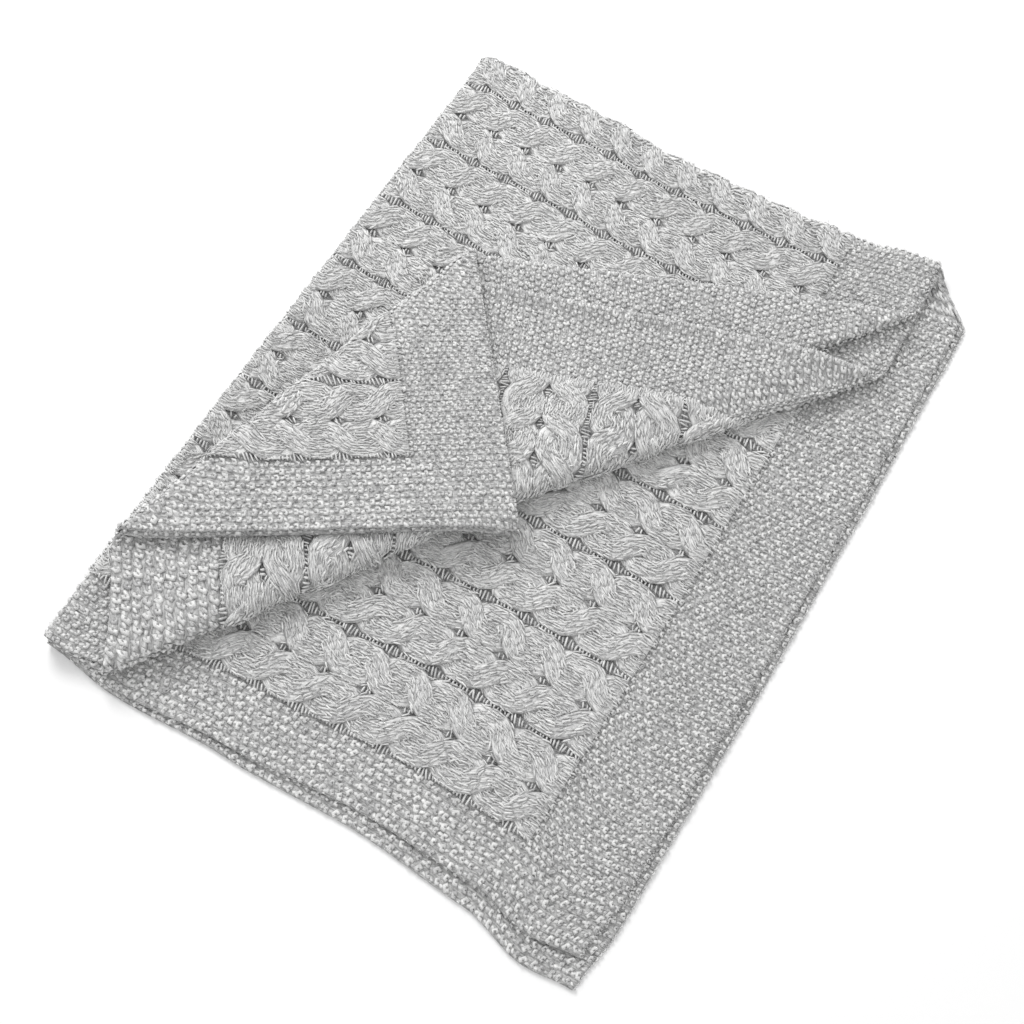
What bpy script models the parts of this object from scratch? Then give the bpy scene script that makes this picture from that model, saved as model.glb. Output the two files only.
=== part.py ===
"""A cable-knit alpaca throw that lies folded in four, with its loose corner turned back twice.

One knitted sheet is one solid. Its shape is worked out from the flat sheet:
each point of the sheet has a place along the cables and a place across them,
and the folds carry that point to where it lies. Units are metres, +Z is up,
X runs along the cables from the first fold to the open end, and Y runs across
them from the open side to the second fold. The sheet rests on z = 0.
"""

import math

import bpy
import numpy as np

# The flat sheet
ALONG = 1.300
ACROSS = 1.800
BORDER = 0.105
CROSSINGS = 22
HALF_KNIT = 0.0020
BORDER_LIFT = 0.0005
ROPE_LIFT = 0.0035
ROPE_LIFT_PRESSED = 0.0020
CENTRE_LIFT = 0.0006
# A rope's height beside a crossing, as a share of its height on the crossing
ROPE_LOW_SHARE = 0.62
# The width of the step between the cables and the border
FIELD_EDGE = 0.008
# Where the cables lie across the sheet. Whole numbers are the middle lines of mirrored pairs of ropes,
# and halves are the ladders between the pairs.
# Columns: repeats of the pattern from the sheet's middle, metres from the middle.
CABLE_LINES = (
    (-7.5, -0.835), (-7.0, -0.785), (-5.5, -0.631), (-3.0, -0.3675), (0.0, 0.0), (4.5, 0.465), (7.5, 0.795),
)

# How the layers lie on each other
WRONG_SIDE_GAP = 0.0012
RIGHT_SIDE_GAP = 0.0012
FIRST_FOLD_HALF_ARC = 0.0070
SECOND_FOLD_HALF_ARC = 0.0130
TURN_BACK_ARC = 0.0210
TIP_ARC = 0.0210
FIRST_FOLD_PUFF = 0.0016
SECOND_FOLD_PUFF = 0.0020
TURN_BACK_PUFF = 0.0010
PUFF_REACH = 0.030
SHEAR_BEFORE = 0.034
SHEAR_AFTER = 0.008
NOSE_SHOWN = 0.6

# Corners of the four layers on the floor, from the top layer down.
# Columns: left corner, top corner, right corner, bottom corner.
# The bottom corners of the two upper layers are where they lay before they were turned back.
LAYER_CORNERS = {
    1: ((-0.028, 0.012), (-0.050, 0.920), (0.577, 0.926), (0.609, -0.043)),
    2: ((-0.028, 0.012), (-0.050, 0.920), (0.582, 0.918), (0.595, -0.108)),
    3: ((-0.028, 0.009), (-0.050, 0.920), (0.631, 0.893), (0.599, 0.032)),
    4: ((-0.028, 0.009), (-0.050, 0.920), (0.640, 0.896), (0.608, 0.004)),
}

# How far the edges of the folded stack bow.
# Columns: share of the way from the first fold, metres in +Y.
SECOND_FOLD_BOW = (
    (0.0, -0.012), (0.05, -0.003), (0.15, -0.009), (0.31, -0.015), (0.42, -0.026),
    (0.72, -0.026), (0.86, -0.019), (0.94, -0.005), (1.0, 0.0),
)
OPEN_SIDE_BOW = (
    (0.0, 0.0), (0.13, -0.007), (0.35, 0.003), (0.62, 0.013), (0.80, 0.009), (0.92, -0.006), (1.0, 0.0),
)
UPPER_SIDE_BOW = ((0.0, 0.0), (0.15, 0.018), (0.45, 0.0), (1.0, 0.0))
# Columns: share of the way from the open side, metres in +X.
OPEN_END_BOW = ((0.0, 0.004), (0.08, 0.012), (0.35, 0.012), (0.65, 0.008), (0.90, 0.003), (1.0, 0.0))

# The lines over which the loose corner of the two upper layers is turned back
TURN_START_UPPER = (0.052, 0.0505)
TURN_END_UPPER = (0.573, 0.853)
TURN_START_LOWER = (0.056, 0.0475)
TURN_END_LOWER = (0.559, 0.737)
TURN_BOW = ((0.0, 0.0), (0.25, -0.010), (0.50, -0.022), (0.72, -0.014), (1.0, 0.0))
TURN_BOW_REACH = 0.110

# How far behind its own nose the lower of those layers climbs over the upper one's nose
CLIMB_ENDS = 0.010
CLIMB_LENGTH = 0.045
LONE_SPREAD = 0.022

# The line over which the tip of that corner is turned down again
TIP_START = (0.105, 0.639)
TIP_END = (-0.017, 0.152)
TIP_CORNER = (0.329, 0.363)

# How far past the turned-back edge the tip droops onto the layer below
DROOP_STARTS = 0.006
DROOP_LENGTH = 0.056

# Where the ropes under and beside the turned-over corner start to be pressed flat, and over what length
STACK_FIELD_MARGIN = 0.010
FLAP_FIELD_STARTS = 0.070
FLAP_FIELD_LENGTH = 0.060
THIRD_SHOWS_FROM = 0.010
THIRD_SHOWS_LENGTH = 0.020
NOSE_SHOWS_FROM = 0.004
CORNER_MARGIN = 0.016
CORNER_SOFT = 0.030
TIP_MARGIN = 0.004
TIP_SOFT = 0.025

# Gentle unevenness of the stack: (share of the height, waves per metre in X, in Y, phase)
WAVES = ((0.035, 1.3, 0.9, 0.4), (0.025, -2.1, 1.7, 1.9), (0.020, 3.2, 2.4, 4.0))

# The lines of the mesh: shares of the way through each bend, climb and droop
FOLD_LINES = (-1.0, -0.6, -0.2, 0.2, 0.6, 1.0)
FOLD_CLEAR = 1.3
BEND_LINES = (0.0, 0.25, 0.5, 0.75, 1.0)
DROOP_LINES = (0.0, 0.3, 0.55, 1.0)
CLIMB_LINES = (0.0, 0.33, 0.67, 1.0)
ROWS_A_CROSSING = 2
LINES_A_REPEAT = 4
# A fold line that passes this near a point of the mesh goes through it
CUT_SNAP = 0.0012
TINY = 1e-9

FABRIC_GREY = (0.50, 0.50, 0.495, 1.0)
FABRIC_ROUGHNESS = 0.95

HALF_ALONG = ALONG / 2
HALF_ACROSS = ACROSS / 2
FIELD_ALONG = HALF_ALONG - BORDER
PITCH = 2 * FIELD_ALONG / CROSSINGS
PAIR = 2 * HALF_KNIT + WRONG_SIDE_GAP
NOSE_LIFT = NOSE_SHOWN * (ROPE_LIFT - ROPE_LIFT_PRESSED)
U_LENGTH = HALF_ALONG - FIRST_FOLD_HALF_ARC
V_LENGTH = HALF_ACROSS - SECOND_FOLD_HALF_ARC
TURNED_CORNERS = (TURN_START_LOWER, TIP_END, TIP_START, TURN_END_LOWER)
TIP_CORNERS = (TIP_END, TIP_START, TIP_CORNER)


def smooth(value):
    """0 below 0, 1 above 1 and a soft step between."""
    value = np.clip(value, 0.0, 1.0)
    return value * value * (3.0 - 2.0 * value)


def mix(first, second, share):
    return first + (second - first) * share


def bowed(table, share):
    """The offset that a table of bows gives, rounded between its rows."""
    places = np.array([row[0] for row in table])
    offsets = np.array([row[1] for row in table])
    share = np.clip(share, 0.0, 1.0)
    row = np.clip(np.searchsorted(places, share, side="right") - 1, 0, len(table) - 2)
    between = (share - places[row]) / (places[row + 1] - places[row])
    return mix(offsets[row], offsets[row + 1], smooth(between))


def layer_plan(layer, u, v):
    """Where a layer's point lies on the floor: u runs from the first fold, v from the open side."""
    left, top, right, bottom = (np.array(corner) for corner in LAYER_CORNERS[layer])
    u_share = u[:, None]
    v_share = v[:, None]
    near = (1 - u_share) * left + u_share * bottom
    far = (1 - u_share) * top + u_share * right
    plan = (1 - v_share) * near + v_share * far
    side = UPPER_SIDE_BOW if layer < 3 else OPEN_SIDE_BOW
    v_in = np.clip(v, 0.0, 1.0)
    plan[:, 1] += bowed(side, u) * (1 - v_in) ** 2 + bowed(SECOND_FOLD_BOW, u) * v_in ** 3
    if layer > 2:
        plan[:, 0] += bowed(OPEN_END_BOW, v) * np.clip(u, 0.0, 1.0) ** 2
    return plan


def line_frame(start, end):
    """A line's start, its direction, and the direction to its right."""
    start = np.array(start)
    ahead = np.array(end) - start
    ahead = ahead / np.linalg.norm(ahead)
    return start, ahead, np.array((ahead[1], -ahead[0]))


def beside(plan, start, end):
    """How far plan points lie to the right of a line."""
    origin, _, right = line_frame(start, end)
    return (plan - origin) @ right


def field_share(plan):
    """1 over the cables of the stack, falling to 0 over its plain border."""
    lower = LAYER_CORNERS[4]
    from_end = beside(plan, lower[2], lower[3])
    from_side = beside(plan, lower[3], lower[0])
    outer = STACK_FIELD_MARGIN
    inner = BORDER - STACK_FIELD_MARGIN
    return smooth((from_end - outer) / (inner - outer)) * smooth((from_side - outer) / (inner - outer))


def stack_levels(plan):
    """Height of the middle of layer 3, and of the top of layer 1 where it is pressed."""
    from_fold = beside(plan, *LAYER_CORNERS[4][:2]) + FIRST_FOLD_HALF_ARC
    puff = np.exp(-((from_fold / PUFF_REACH) ** 2))
    knit = HALF_KNIT + BORDER_LIFT + ROPE_LIFT_PRESSED * field_share(plan)
    third = HALF_KNIT + PAIR + 2 * FIRST_FOLD_PUFF * puff
    first = third + PAIR + 2 * knit + RIGHT_SIDE_GAP + 2 * (FIRST_FOLD_PUFF + NOSE_LIFT) * puff
    return third, first + knit + NOSE_LIFT * puff


def covered(plan, corners, margin, soft):
    """1 under a turned-over part of the sheet, falling to 0 over soft metres outside it."""
    share = np.ones(len(plan))
    for start, end in zip(corners, corners[1:] + corners[:1]):
        share = share * smooth(1 + (beside(plan, start, end) + margin) / soft)
    return share


def rope_profile(s, t):
    """The height of the ropes above the plain knit, as a share of the full lift, and the border's share."""
    repeats = np.interp(t, [row[1] for row in CABLE_LINES], [row[0] for row in CABLE_LINES])
    crest = 1 - np.abs(2 * (2 * repeats % 1.0) - 1)
    beat = 0.5 - 0.5 * np.cos(2 * math.pi * s / PITCH)
    from_edge = np.minimum(t - CABLE_LINES[0][1], CABLE_LINES[-1][1] - t)
    in_field = smooth(0.5 + (FIELD_ALONG - np.abs(s)) / FIELD_EDGE) * smooth(0.5 + from_edge / FIELD_EDGE)
    lift = crest * mix(ROPE_LOW_SHARE, 1.0, beat)
    valley = (1 - crest) * (CENTRE_LIFT / ROPE_LIFT)
    return (lift + valley) * in_field, 1 - in_field


def turn(distance, height, axis, arc):
    """Bends a sheet up and back over a line: distance is how far past the line a point lay."""
    angle = np.clip(distance / arc, 0.0, 1.0) * math.pi
    radius = axis - height
    past = np.where(distance > arc, arc - distance, np.minimum(distance, 0.0))
    return past + radius * np.sin(angle), axis - radius * np.cos(angle)


def lay_out(s, t):
    """The plain places of flat points before any thickness: on the stack, turned back and on the tip."""
    first_angle = np.clip(0.5 - 0.5 * s / FIRST_FOLD_HALF_ARC, 0.0, 1.0) * math.pi
    under = (1 - np.cos(first_angle)) / 2
    over = smooth((t + SHEAR_BEFORE) / (SHEAR_BEFORE + SHEAR_AFTER))
    u_from_fold = np.maximum(np.abs(s) - FIRST_FOLD_HALF_ARC, 0.0)
    v_from_fold = np.maximum(np.abs(t) - SECOND_FOLD_HALF_ARC, 0.0)

    def plan_of(u, v):
        lower = mix(layer_plan(3, u, v), layer_plan(4, u, v), under[:, None])
        upper = mix(layer_plan(2, u, v), layer_plan(1, u, v), under[:, None])
        return mix(lower, upper, over[:, None])

    stack = plan_of(u_from_fold / U_LENGTH, 1 - v_from_fold / V_LENGTH)

    # The upper of the two layers that are turned back bends over a line of its own
    start = mix(np.array(TURN_START_LOWER), np.array(TURN_START_UPPER), under[:, None])
    ahead = mix(np.array(TURN_END_LOWER), np.array(TURN_END_UPPER), under[:, None]) - start
    length = np.linalg.norm(ahead, axis=1)
    ahead = ahead / length[:, None]
    across = np.stack((ahead[:, 1], -ahead[:, 0]), axis=1)
    from_start = stack - start
    along = (from_start * ahead).sum(axis=1)
    past_turn = np.where(t > SECOND_FOLD_HALF_ARC, (from_start * across).sum(axis=1), -1.0)
    turned = past_turn > TURN_BACK_ARC
    moved = np.where(turned, TURN_BACK_ARC - past_turn, np.minimum(past_turn, 0.0))
    flap = stack + across * (moved - past_turn)[:, None]

    # Between the two lines the lower layer is turned back on its own
    spread = beside(stack - across * past_turn[:, None], TURN_START_UPPER, TURN_END_UPPER)
    past_tip = np.where(turned, -beside(flap, TIP_END, TIP_START), -1.0)
    tip_right = line_frame(TIP_END, TIP_START)[2]
    moved = np.where(past_tip > TIP_ARC, TIP_ARC - past_tip, np.minimum(past_tip, 0.0))
    tip = flap - tip_right * (moved - past_tip)[:, None]
    return {
        "first_angle": first_angle,
        "under": under,
        "plan_of": plan_of,
        "u_from_fold": u_from_fold,
        "v_from_fold": v_from_fold,
        "stack": stack,
        "start": start,
        "across": across,
        "along_share": along / length,
        "past_turn": past_turn,
        "turned": turned,
        "flap": flap,
        "spread": spread,
        "past_tip": past_tip,
        "tip": tip,
    }


def shown_share(s, t, laid):
    """1 where the ropes show at full height, 0 where another layer presses them."""
    past_turn = laid["past_turn"]
    past_tip = laid["past_tip"]
    inner = laid["under"] < 0.5
    from_nose = beside(laid["stack"], TURN_START_LOWER, TURN_END_LOWER)
    third = smooth((from_nose - THIRD_SHOWS_FROM) / THIRD_SHOWS_LENGTH)
    first = 1 - covered(laid["stack"], TURNED_CORNERS, CORNER_MARGIN, CORNER_SOFT)
    nose = smooth((past_turn + NOSE_SHOWS_FROM) / (2 * NOSE_SHOWS_FROM))
    flap = 1 - covered(laid["flap"], TIP_CORNERS, TIP_MARGIN, TIP_SOFT)
    shown = np.where(t < 0, np.where(inner, third, 0.0), np.where(inner, 0.0, first))
    shown = np.where(inner & (past_turn > -NOSE_SHOWS_FROM), nose, shown)
    shown = np.where(laid["turned"], np.where(inner, flap, smooth(past_tip / TIP_ARC)), shown)
    shown = np.where(inner & (past_tip > TIP_ARC), 0.0, shown)
    at_fold = (np.abs(s) < FIRST_FOLD_HALF_ARC) | ((np.abs(t) < SECOND_FOLD_HALF_ARC) & ~inner)
    return np.where(at_fold, NOSE_SHOWN, shown)


def flap_level(plan):
    """Height of the middle of the turned-back upper layer, the lower one of the flap's two."""
    top = stack_levels(plan)[1]
    from_nose = beside(plan, TURN_START_UPPER, TURN_END_UPPER)
    puff = TURN_BACK_PUFF * np.exp(-((from_nose / PUFF_REACH) ** 2))
    return top + RIGHT_SIDE_GAP + HALF_KNIT + ROPE_LIFT_PRESSED + BORDER_LIFT + 2 * puff


def tip_level(plan):
    """Height of the middle of the lower layer of the tip, on the flap or drooping in front of it."""
    from_end = beside(plan, TIP_START, TURN_END_LOWER)
    flap_field = smooth((from_end - FLAP_FIELD_STARTS) / FLAP_FIELD_LENGTH)
    on_flap = flap_level(plan) + PAIR + HALF_KNIT + BORDER_LIFT + ROPE_LIFT_PRESSED * (1 + flap_field)
    on_third = stack_levels(plan)[0] + HALF_KNIT + ROPE_LIFT
    past_edge = beside(plan, TURN_START_LOWER, TURN_END_LOWER)
    droop = smooth((past_edge - DROOP_STARTS) / DROOP_LENGTH)
    return mix(on_flap, on_third, droop) + RIGHT_SIDE_GAP + HALF_KNIT + BORDER_LIFT


def place(s, t, side):
    """Carries points of the flat sheet to where they lie.

    s is along the cables and t across them, both from the middle of the sheet.
    side is 1 for the right side of the knit, -1 for its wrong side.
    """
    laid = lay_out(s, t)
    first_angle = laid["first_angle"]
    inner = laid["under"] < 0.5
    upper = t > SECOND_FOLD_HALF_ARC
    rope, border = rope_profile(s, t)
    full = mix(ROPE_LIFT_PRESSED, ROPE_LIFT, shown_share(s, t, laid))
    second_angle = np.clip(0.5 + 0.5 * t / SECOND_FOLD_HALF_ARC, 0.0, 1.0) * math.pi
    on_floor = (laid["under"] >= 1.0) & (second_angle <= 0.0)
    lift = np.where(on_floor, 0.0, full * rope + BORDER_LIFT * border)
    offset = np.where(side > 0, HALF_KNIT + lift, -HALF_KNIT)

    # First fold: each pair of layers
    first_puff = np.exp(-((s / PUFF_REACH) ** 2))
    half_pair = PAIR / 2 + FIRST_FOLD_PUFF * first_puff
    radius = half_pair + offset
    u = (laid["u_from_fold"] - radius * np.sin(first_angle)) / U_LENGTH
    in_pair = radius * np.cos(first_angle)

    # Second fold: the upper pair over the lower one
    second_puff = SECOND_FOLD_PUFF * np.exp(-((t / PUFF_REACH) ** 2))
    knit = HALF_KNIT + BORDER_LIFT + ROPE_LIFT_PRESSED * field_share(laid["stack"])
    between = RIGHT_SIDE_GAP + 2 * (knit + second_puff + NOSE_LIFT * first_puff)
    half_stack = half_pair + between / 2
    axis = HALF_KNIT + half_pair + half_stack
    second_radius = half_stack - in_pair
    v = 1 + (second_radius * np.sin(second_angle) - laid["v_from_fold"]) / V_LENGTH
    plan = laid["plan_of"](u, v)
    height = axis - second_radius * np.cos(second_angle)

    # The loose corner of the upper layers, turned back
    second_level = HALF_KNIT + 2 * half_pair + between
    first_level = second_level + 2 * half_pair
    first_flap = flap_level(laid["flap"])
    behind = np.maximum(laid["past_turn"] - TURN_BACK_ARC, 0.0)
    climb = smooth((behind - laid["spread"] + CLIMB_ENDS + CLIMB_LENGTH) / CLIMB_LENGTH)
    alone = smooth((laid["spread"] - LONE_SPREAD) / LONE_SPREAD) * (1 - climb) * inner
    lone_flap = second_level + 2 * (HALF_KNIT + WRONG_SIDE_GAP + TURN_BACK_PUFF)
    second_flap = mix(first_flap + PAIR, lone_flap, alone)
    turn_axis = np.where(inner, (second_level + second_flap) / 2, (first_level + first_flap) / 2)
    past = np.where(upper, ((plan - laid["start"]) * laid["across"]).sum(axis=1), -1.0)
    moved, flap_height = turn(past, height, turn_axis, TURN_BACK_ARC)
    bow = bowed(TURN_BOW, laid["along_share"]) * np.exp(-((moved / TURN_BOW_REACH) ** 2))
    plan = plan + laid["across"] * np.where(upper, moved - past + bow, 0.0)[:, None]
    height = np.where(past > 0, flap_height, height)

    # The tip of that corner, turned down again
    tip_right = line_frame(TIP_END, TIP_START)[2]
    past = np.where(laid["turned"], -beside(plan, TIP_END, TIP_START), -1.0)
    tip_axis = (second_flap + tip_level(laid["tip"])) / 2
    moved, tip_height = turn(past, height, tip_axis, TIP_ARC)
    plan = plan - tip_right * (moved - past)[:, None]
    height = np.where(past > 0, tip_height, height)

    # Gentle unevenness, which leaves the floor flat and keeps the layers in order
    swell = np.ones(len(s))
    for share, in_x, in_y, phase in WAVES:
        swell = swell + share * np.sin(2 * math.pi * (in_x * plan[:, 0] + in_y * plan[:, 1]) + phase)
    return np.column_stack((plan, np.maximum(height, 0.0) * swell))


class Flat:
    """A mesh of the flat sheet: points (s, t) and the faces between them."""

    def __init__(self, rows, columns, all_rows, all_columns):
        self.points = []
        self.index = {}
        self.faces = []
        for low, high in zip(rows[:-1], rows[1:]):
            for left, right in zip(columns[:-1], columns[1:]):
                corners = ((low, left), (high, left), (high, right), (low, right))
                self.faces.append(self.outline(corners, all_rows, all_columns))

    def point(self, s, t):
        key = (round(s, 7), round(t, 7))
        if key not in self.index:
            self.index[key] = len(self.points)
            self.points.append((s, t))
        return self.index[key]

    def outline(self, corners, all_rows, all_columns):
        """A cell's points, with every fine row or column where it meets the sheet's edge."""
        face = []
        for start, end in zip(corners, corners[1:] + corners[:1]):
            face.append(self.point(*start))
            if start[1] == end[1] and abs(start[1]) == HALF_ACROSS:
                low, high = sorted((start[0], end[0]))
                inner = [row for row in all_rows if low < row < high]
                inner = inner if start[0] < end[0] else inner[::-1]
                face.extend(self.point(row, start[1]) for row in inner)
            if start[0] == end[0] and abs(start[0]) == HALF_ALONG:
                low, high = sorted((start[1], end[1]))
                inner = [column for column in all_columns if low < column < high]
                inner = inner if start[1] < end[1] else inner[::-1]
                face.extend(self.point(start[0], column) for column in inner)
        return face

    def cut(self, measure, level, inside):
        """Splits the faces that pass inside() where measure() crosses level."""
        points = np.array(self.points)
        chosen = [number for number, face in enumerate(self.faces) if inside(points[face])]
        measured = measure(points[:, 0], points[:, 1]) - level
        measured[np.abs(measured) < CUT_SNAP] = 0.0
        value = {corner: float(measured[corner]) for corner in range(len(points))}
        added = {}
        for number in chosen:
            face = self.faces[number]
            for start, end in zip(face, face[1:] + face[:1]):
                if value[start] * value[end] < 0:
                    edge = (min(start, end), max(start, end))
                    share = value[edge[0]] / (value[edge[0]] - value[edge[1]])
                    place_on_edge = points[edge[0]] + share * (points[edge[1]] - points[edge[0]])
                    added[edge] = self.point(*(float(part) for part in place_on_edge))
                    value[added[edge]] = 0.0
        for number, face in enumerate(self.faces):
            longer = []
            for start, end in zip(face, face[1:] + face[:1]):
                longer.append(start)
                middle = added.get((min(start, end), max(start, end)))
                if middle is not None:
                    longer.append(middle)
            self.faces[number] = longer
        for number in chosen:
            face = self.faces[number]
            signs = [value[corner] for corner in face]
            if min(signs) < 0 < max(signs):
                zeros = [place_in for place_in, sign in enumerate(signs) if sign == 0.0]
                first, last = zeros[0], zeros[-1]
                self.faces[number] = face[first:last + 1]
                self.faces.append(face[last:] + face[:first + 1])

    def triangles(self):
        """Fans from the corner of each face that gives the roundest triangles."""
        found = []
        points = np.array(self.points)
        for face in self.faces:
            best = None
            for turn_by in range(len(face)):
                ring = face[turn_by:] + face[:turn_by]
                fan = [(ring[0], ring[i], ring[i + 1]) for i in range(1, len(ring) - 1)]
                corners = points[np.array(fan)]
                sides = corners[:, [1, 2]] - corners[:, [0, 0]]
                areas = sides[:, 0, 0] * sides[:, 1, 1] - sides[:, 0, 1] * sides[:, 1, 0]
                if best is None or areas.min() > best[0]:
                    best = (areas.min(), fan)
            found.extend(best[1])
        return found

    def fold(self):
        """Cuts the sheet where the loose corner and its tip bend, climb and droop."""
        def upper_half(sign):
            return lambda corners: bool(
                (corners[:, 1] >= SECOND_FOLD_HALF_ARC - TINY).all()
                and (sign * corners[:, 0] >= FIRST_FOLD_HALF_ARC - TINY).all()
            )

        for sign in (1, -1):
            for share in BEND_LINES:
                self.cut(lambda s, t: lay_out(s, t)["past_turn"], share * TURN_BACK_ARC, upper_half(sign))
            for share in BEND_LINES:
                self.cut(lambda s, t: lay_out(s, t)["past_tip"], share * TIP_ARC, upper_half(sign))
            for share in DROOP_LINES:
                self.cut(droop_place, share * DROOP_LENGTH, upper_half(sign))
        for share in CLIMB_LINES:
            self.cut(climb_place, share * CLIMB_LENGTH, upper_half(1))
        self.cut(over_upper_nose, 0.0, upper_half(1))


def climb_place(s, t):
    """How far a point of the lower turned-back layer is up its climb over the upper one."""
    laid = lay_out(s, t)
    climbed = laid["past_turn"] - TURN_BACK_ARC - laid["spread"] + CLIMB_ENDS + CLIMB_LENGTH
    return np.where(laid["turned"] & (laid["spread"] > LONE_SPREAD), climbed, -1.0)


def over_upper_nose(s, t):
    """How far a point of the lower turned-back layer is past the nose of the upper one."""
    laid = lay_out(s, t)
    return np.where(laid["turned"], laid["past_turn"] - TURN_BACK_ARC - laid["spread"], -1.0)


def droop_place(s, t):
    """How far a point of the tip is past the start of its droop."""
    laid = lay_out(s, t)
    past = beside(laid["tip"], TURN_START_LOWER, TURN_END_LOWER) - DROOP_STARTS
    return np.where(laid["past_tip"] > TIP_ARC, past, -1.0)


def lines_of(field, half, arc):
    """Grid lines from -half to half: the edges, the cables' own lines, and a close set at the fold."""
    lines = {line for line in field if abs(line) > arc * FOLD_CLEAR}
    lines |= {-half, half, (min(field) - half) / 2, (max(field) + half) / 2}
    lines |= {arc * share for share in FOLD_LINES}
    return sorted(round(line, 9) for line in lines)


def build_sheet():
    """Points and faces of the folded sheet: its right side fine, its wrong side coarse, and the rim."""
    rows = np.linspace(-FIELD_ALONG, FIELD_ALONG, ROWS_A_CROSSING * CROSSINGS + 1)
    first, last = CABLE_LINES[0][0], CABLE_LINES[-1][0]
    repeats = np.linspace(first, last, int(LINES_A_REPEAT * (last - first)) + 1)
    columns = np.interp(repeats, [row[0] for row in CABLE_LINES], [row[1] for row in CABLE_LINES])
    fine_rows = lines_of(rows, HALF_ALONG, FIRST_FOLD_HALF_ARC)
    fine_columns = lines_of(columns, HALF_ACROSS, SECOND_FOLD_HALF_ARC)
    coarse_rows = lines_of(rows[::2], HALF_ALONG, FIRST_FOLD_HALF_ARC)
    coarse_columns = lines_of(columns[::2], HALF_ACROSS, SECOND_FOLD_HALF_ARC)
    right_side = Flat(fine_rows, fine_columns, fine_rows, fine_columns)
    wrong_side = Flat(coarse_rows, coarse_columns, fine_rows, fine_columns)
    right_side.fold()
    wrong_side.fold()

    points = []
    for flat, side in ((right_side, 1.0), (wrong_side, -1.0)):
        s, t = np.array(flat.points).T
        points.append(place(s, t, np.full(len(s), side)))
    start = len(right_side.points)
    right_faces = [tuple(face) for face in right_side.triangles()]
    faces = right_faces + [tuple(start + corner for corner in face[::-1]) for face in wrong_side.triangles()]

    # The rim joins both sides along the sheet's edge
    edges = {}
    for face in right_faces:
        for first, last in zip(face, face[1:] + face[:1]):
            edges[(first, last)] = True
    for first, last in edges:
        if (last, first) not in edges:
            first_under = start + wrong_side.point(*right_side.points[first])
            last_under = start + wrong_side.point(*right_side.points[last])
            faces.append((last, first, first_under))
            faces.append((last, first_under, last_under))
    return np.vstack(points), faces


def main():
    for thing in list(bpy.data.objects):
        bpy.data.objects.remove(thing, do_unlink=True)
    points, faces = build_sheet()
    low = points.min(axis=0)
    high = points.max(axis=0)
    points = points - np.array(((low[0] + high[0]) / 2, (low[1] + high[1]) / 2, low[2]))
    mesh = bpy.data.meshes.new("knit_throw")
    mesh.from_pydata([tuple(point) for point in points], [], faces)
    mesh.validate()
    mesh.update()
    for polygon in mesh.polygons:
        polygon.use_smooth = True
    throw = bpy.data.objects.new("knit_throw", mesh)
    bpy.context.scene.collection.objects.link(throw)
    fabric = bpy.data.materials.new("marled_knit")
    fabric.use_nodes = True
    shader = fabric.node_tree.nodes["Principled BSDF"]
    shader.inputs["Base Color"].default_value = FABRIC_GREY
    shader.inputs["Roughness"].default_value = FABRIC_ROUGHNESS
    mesh.materials.append(fabric)


main()
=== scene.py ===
# %% [markdown]
# # A cable-knit throw that lies folded in four
#
# The real throw is one piece of hand-knit look cloth in marled light grey alpaca: 16 pairs of mirrored ropes
# between ladder-like gutters, and a seed-stitch border knitted in on all four sides. It lies folded in four,
# and its loose corner is turned back twice.
# The scene is made as a knitter would make it. Every stitch is first set out on the flat sheet, and then one
# set of formulas, the same that shaped the solid, folds sheet, ropes and stitches alike.

# %% Load the frame
import math

import bpy
import numpy as np
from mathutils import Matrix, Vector
from mathutils.bvhtree import BVHTree


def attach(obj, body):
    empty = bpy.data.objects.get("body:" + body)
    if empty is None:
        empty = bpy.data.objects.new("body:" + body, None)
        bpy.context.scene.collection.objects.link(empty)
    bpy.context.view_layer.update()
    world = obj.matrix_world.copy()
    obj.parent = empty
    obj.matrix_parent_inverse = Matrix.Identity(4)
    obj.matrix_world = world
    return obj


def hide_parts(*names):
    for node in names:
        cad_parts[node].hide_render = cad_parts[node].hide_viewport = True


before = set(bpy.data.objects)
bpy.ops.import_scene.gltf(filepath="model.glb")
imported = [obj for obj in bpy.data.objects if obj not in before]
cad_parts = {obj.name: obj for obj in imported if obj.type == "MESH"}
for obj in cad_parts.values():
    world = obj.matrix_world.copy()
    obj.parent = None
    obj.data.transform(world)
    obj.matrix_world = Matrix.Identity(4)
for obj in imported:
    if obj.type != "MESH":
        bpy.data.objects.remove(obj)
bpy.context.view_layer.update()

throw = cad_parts["knit_throw"]


# %% Helpers for objects and for nodes
def put_in_scene(name, data):
    """An object of this name with this mesh, camera or lamp, linked to the scene."""
    thing = bpy.data.objects.new(name, data)
    bpy.context.scene.collection.objects.link(thing)
    return thing


def add_node(tree, kind, inputs=None, **settings):
    """A new node with its settings and, for each input, a value or the socket that feeds it."""
    node = tree.nodes.new(kind)
    for name, value in settings.items():
        setattr(node, name, value)
    for name, value in (inputs or {}).items():
        if isinstance(value, bpy.types.NodeSocket):
            tree.links.new(value, node.inputs[name])
        else:
            node.inputs[name].default_value = value
    return node


# %% [markdown]
# ## Camera, floor and light
#
# The throw was photographed from above and a little from one corner, on a bright white page. A long soft
# light from the far left leaves the side of each fold that faces the viewer a little darker, and a bright
# surround fills every shadow. Area lamps and a pale world do the same. A plain transfer of light to screen
# keeps the page as white as paper.

# %% Camera
CAMERA_AZIMUTH = math.radians(31.5)
CAMERA_ELEVATION = math.radians(66.0)
CAMERA_DISTANCE = 1.3558
CAMERA_TARGET = Vector((0.0132, -0.0714, 0.0))
LENS = 42.82
SENSOR = 36.0

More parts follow.
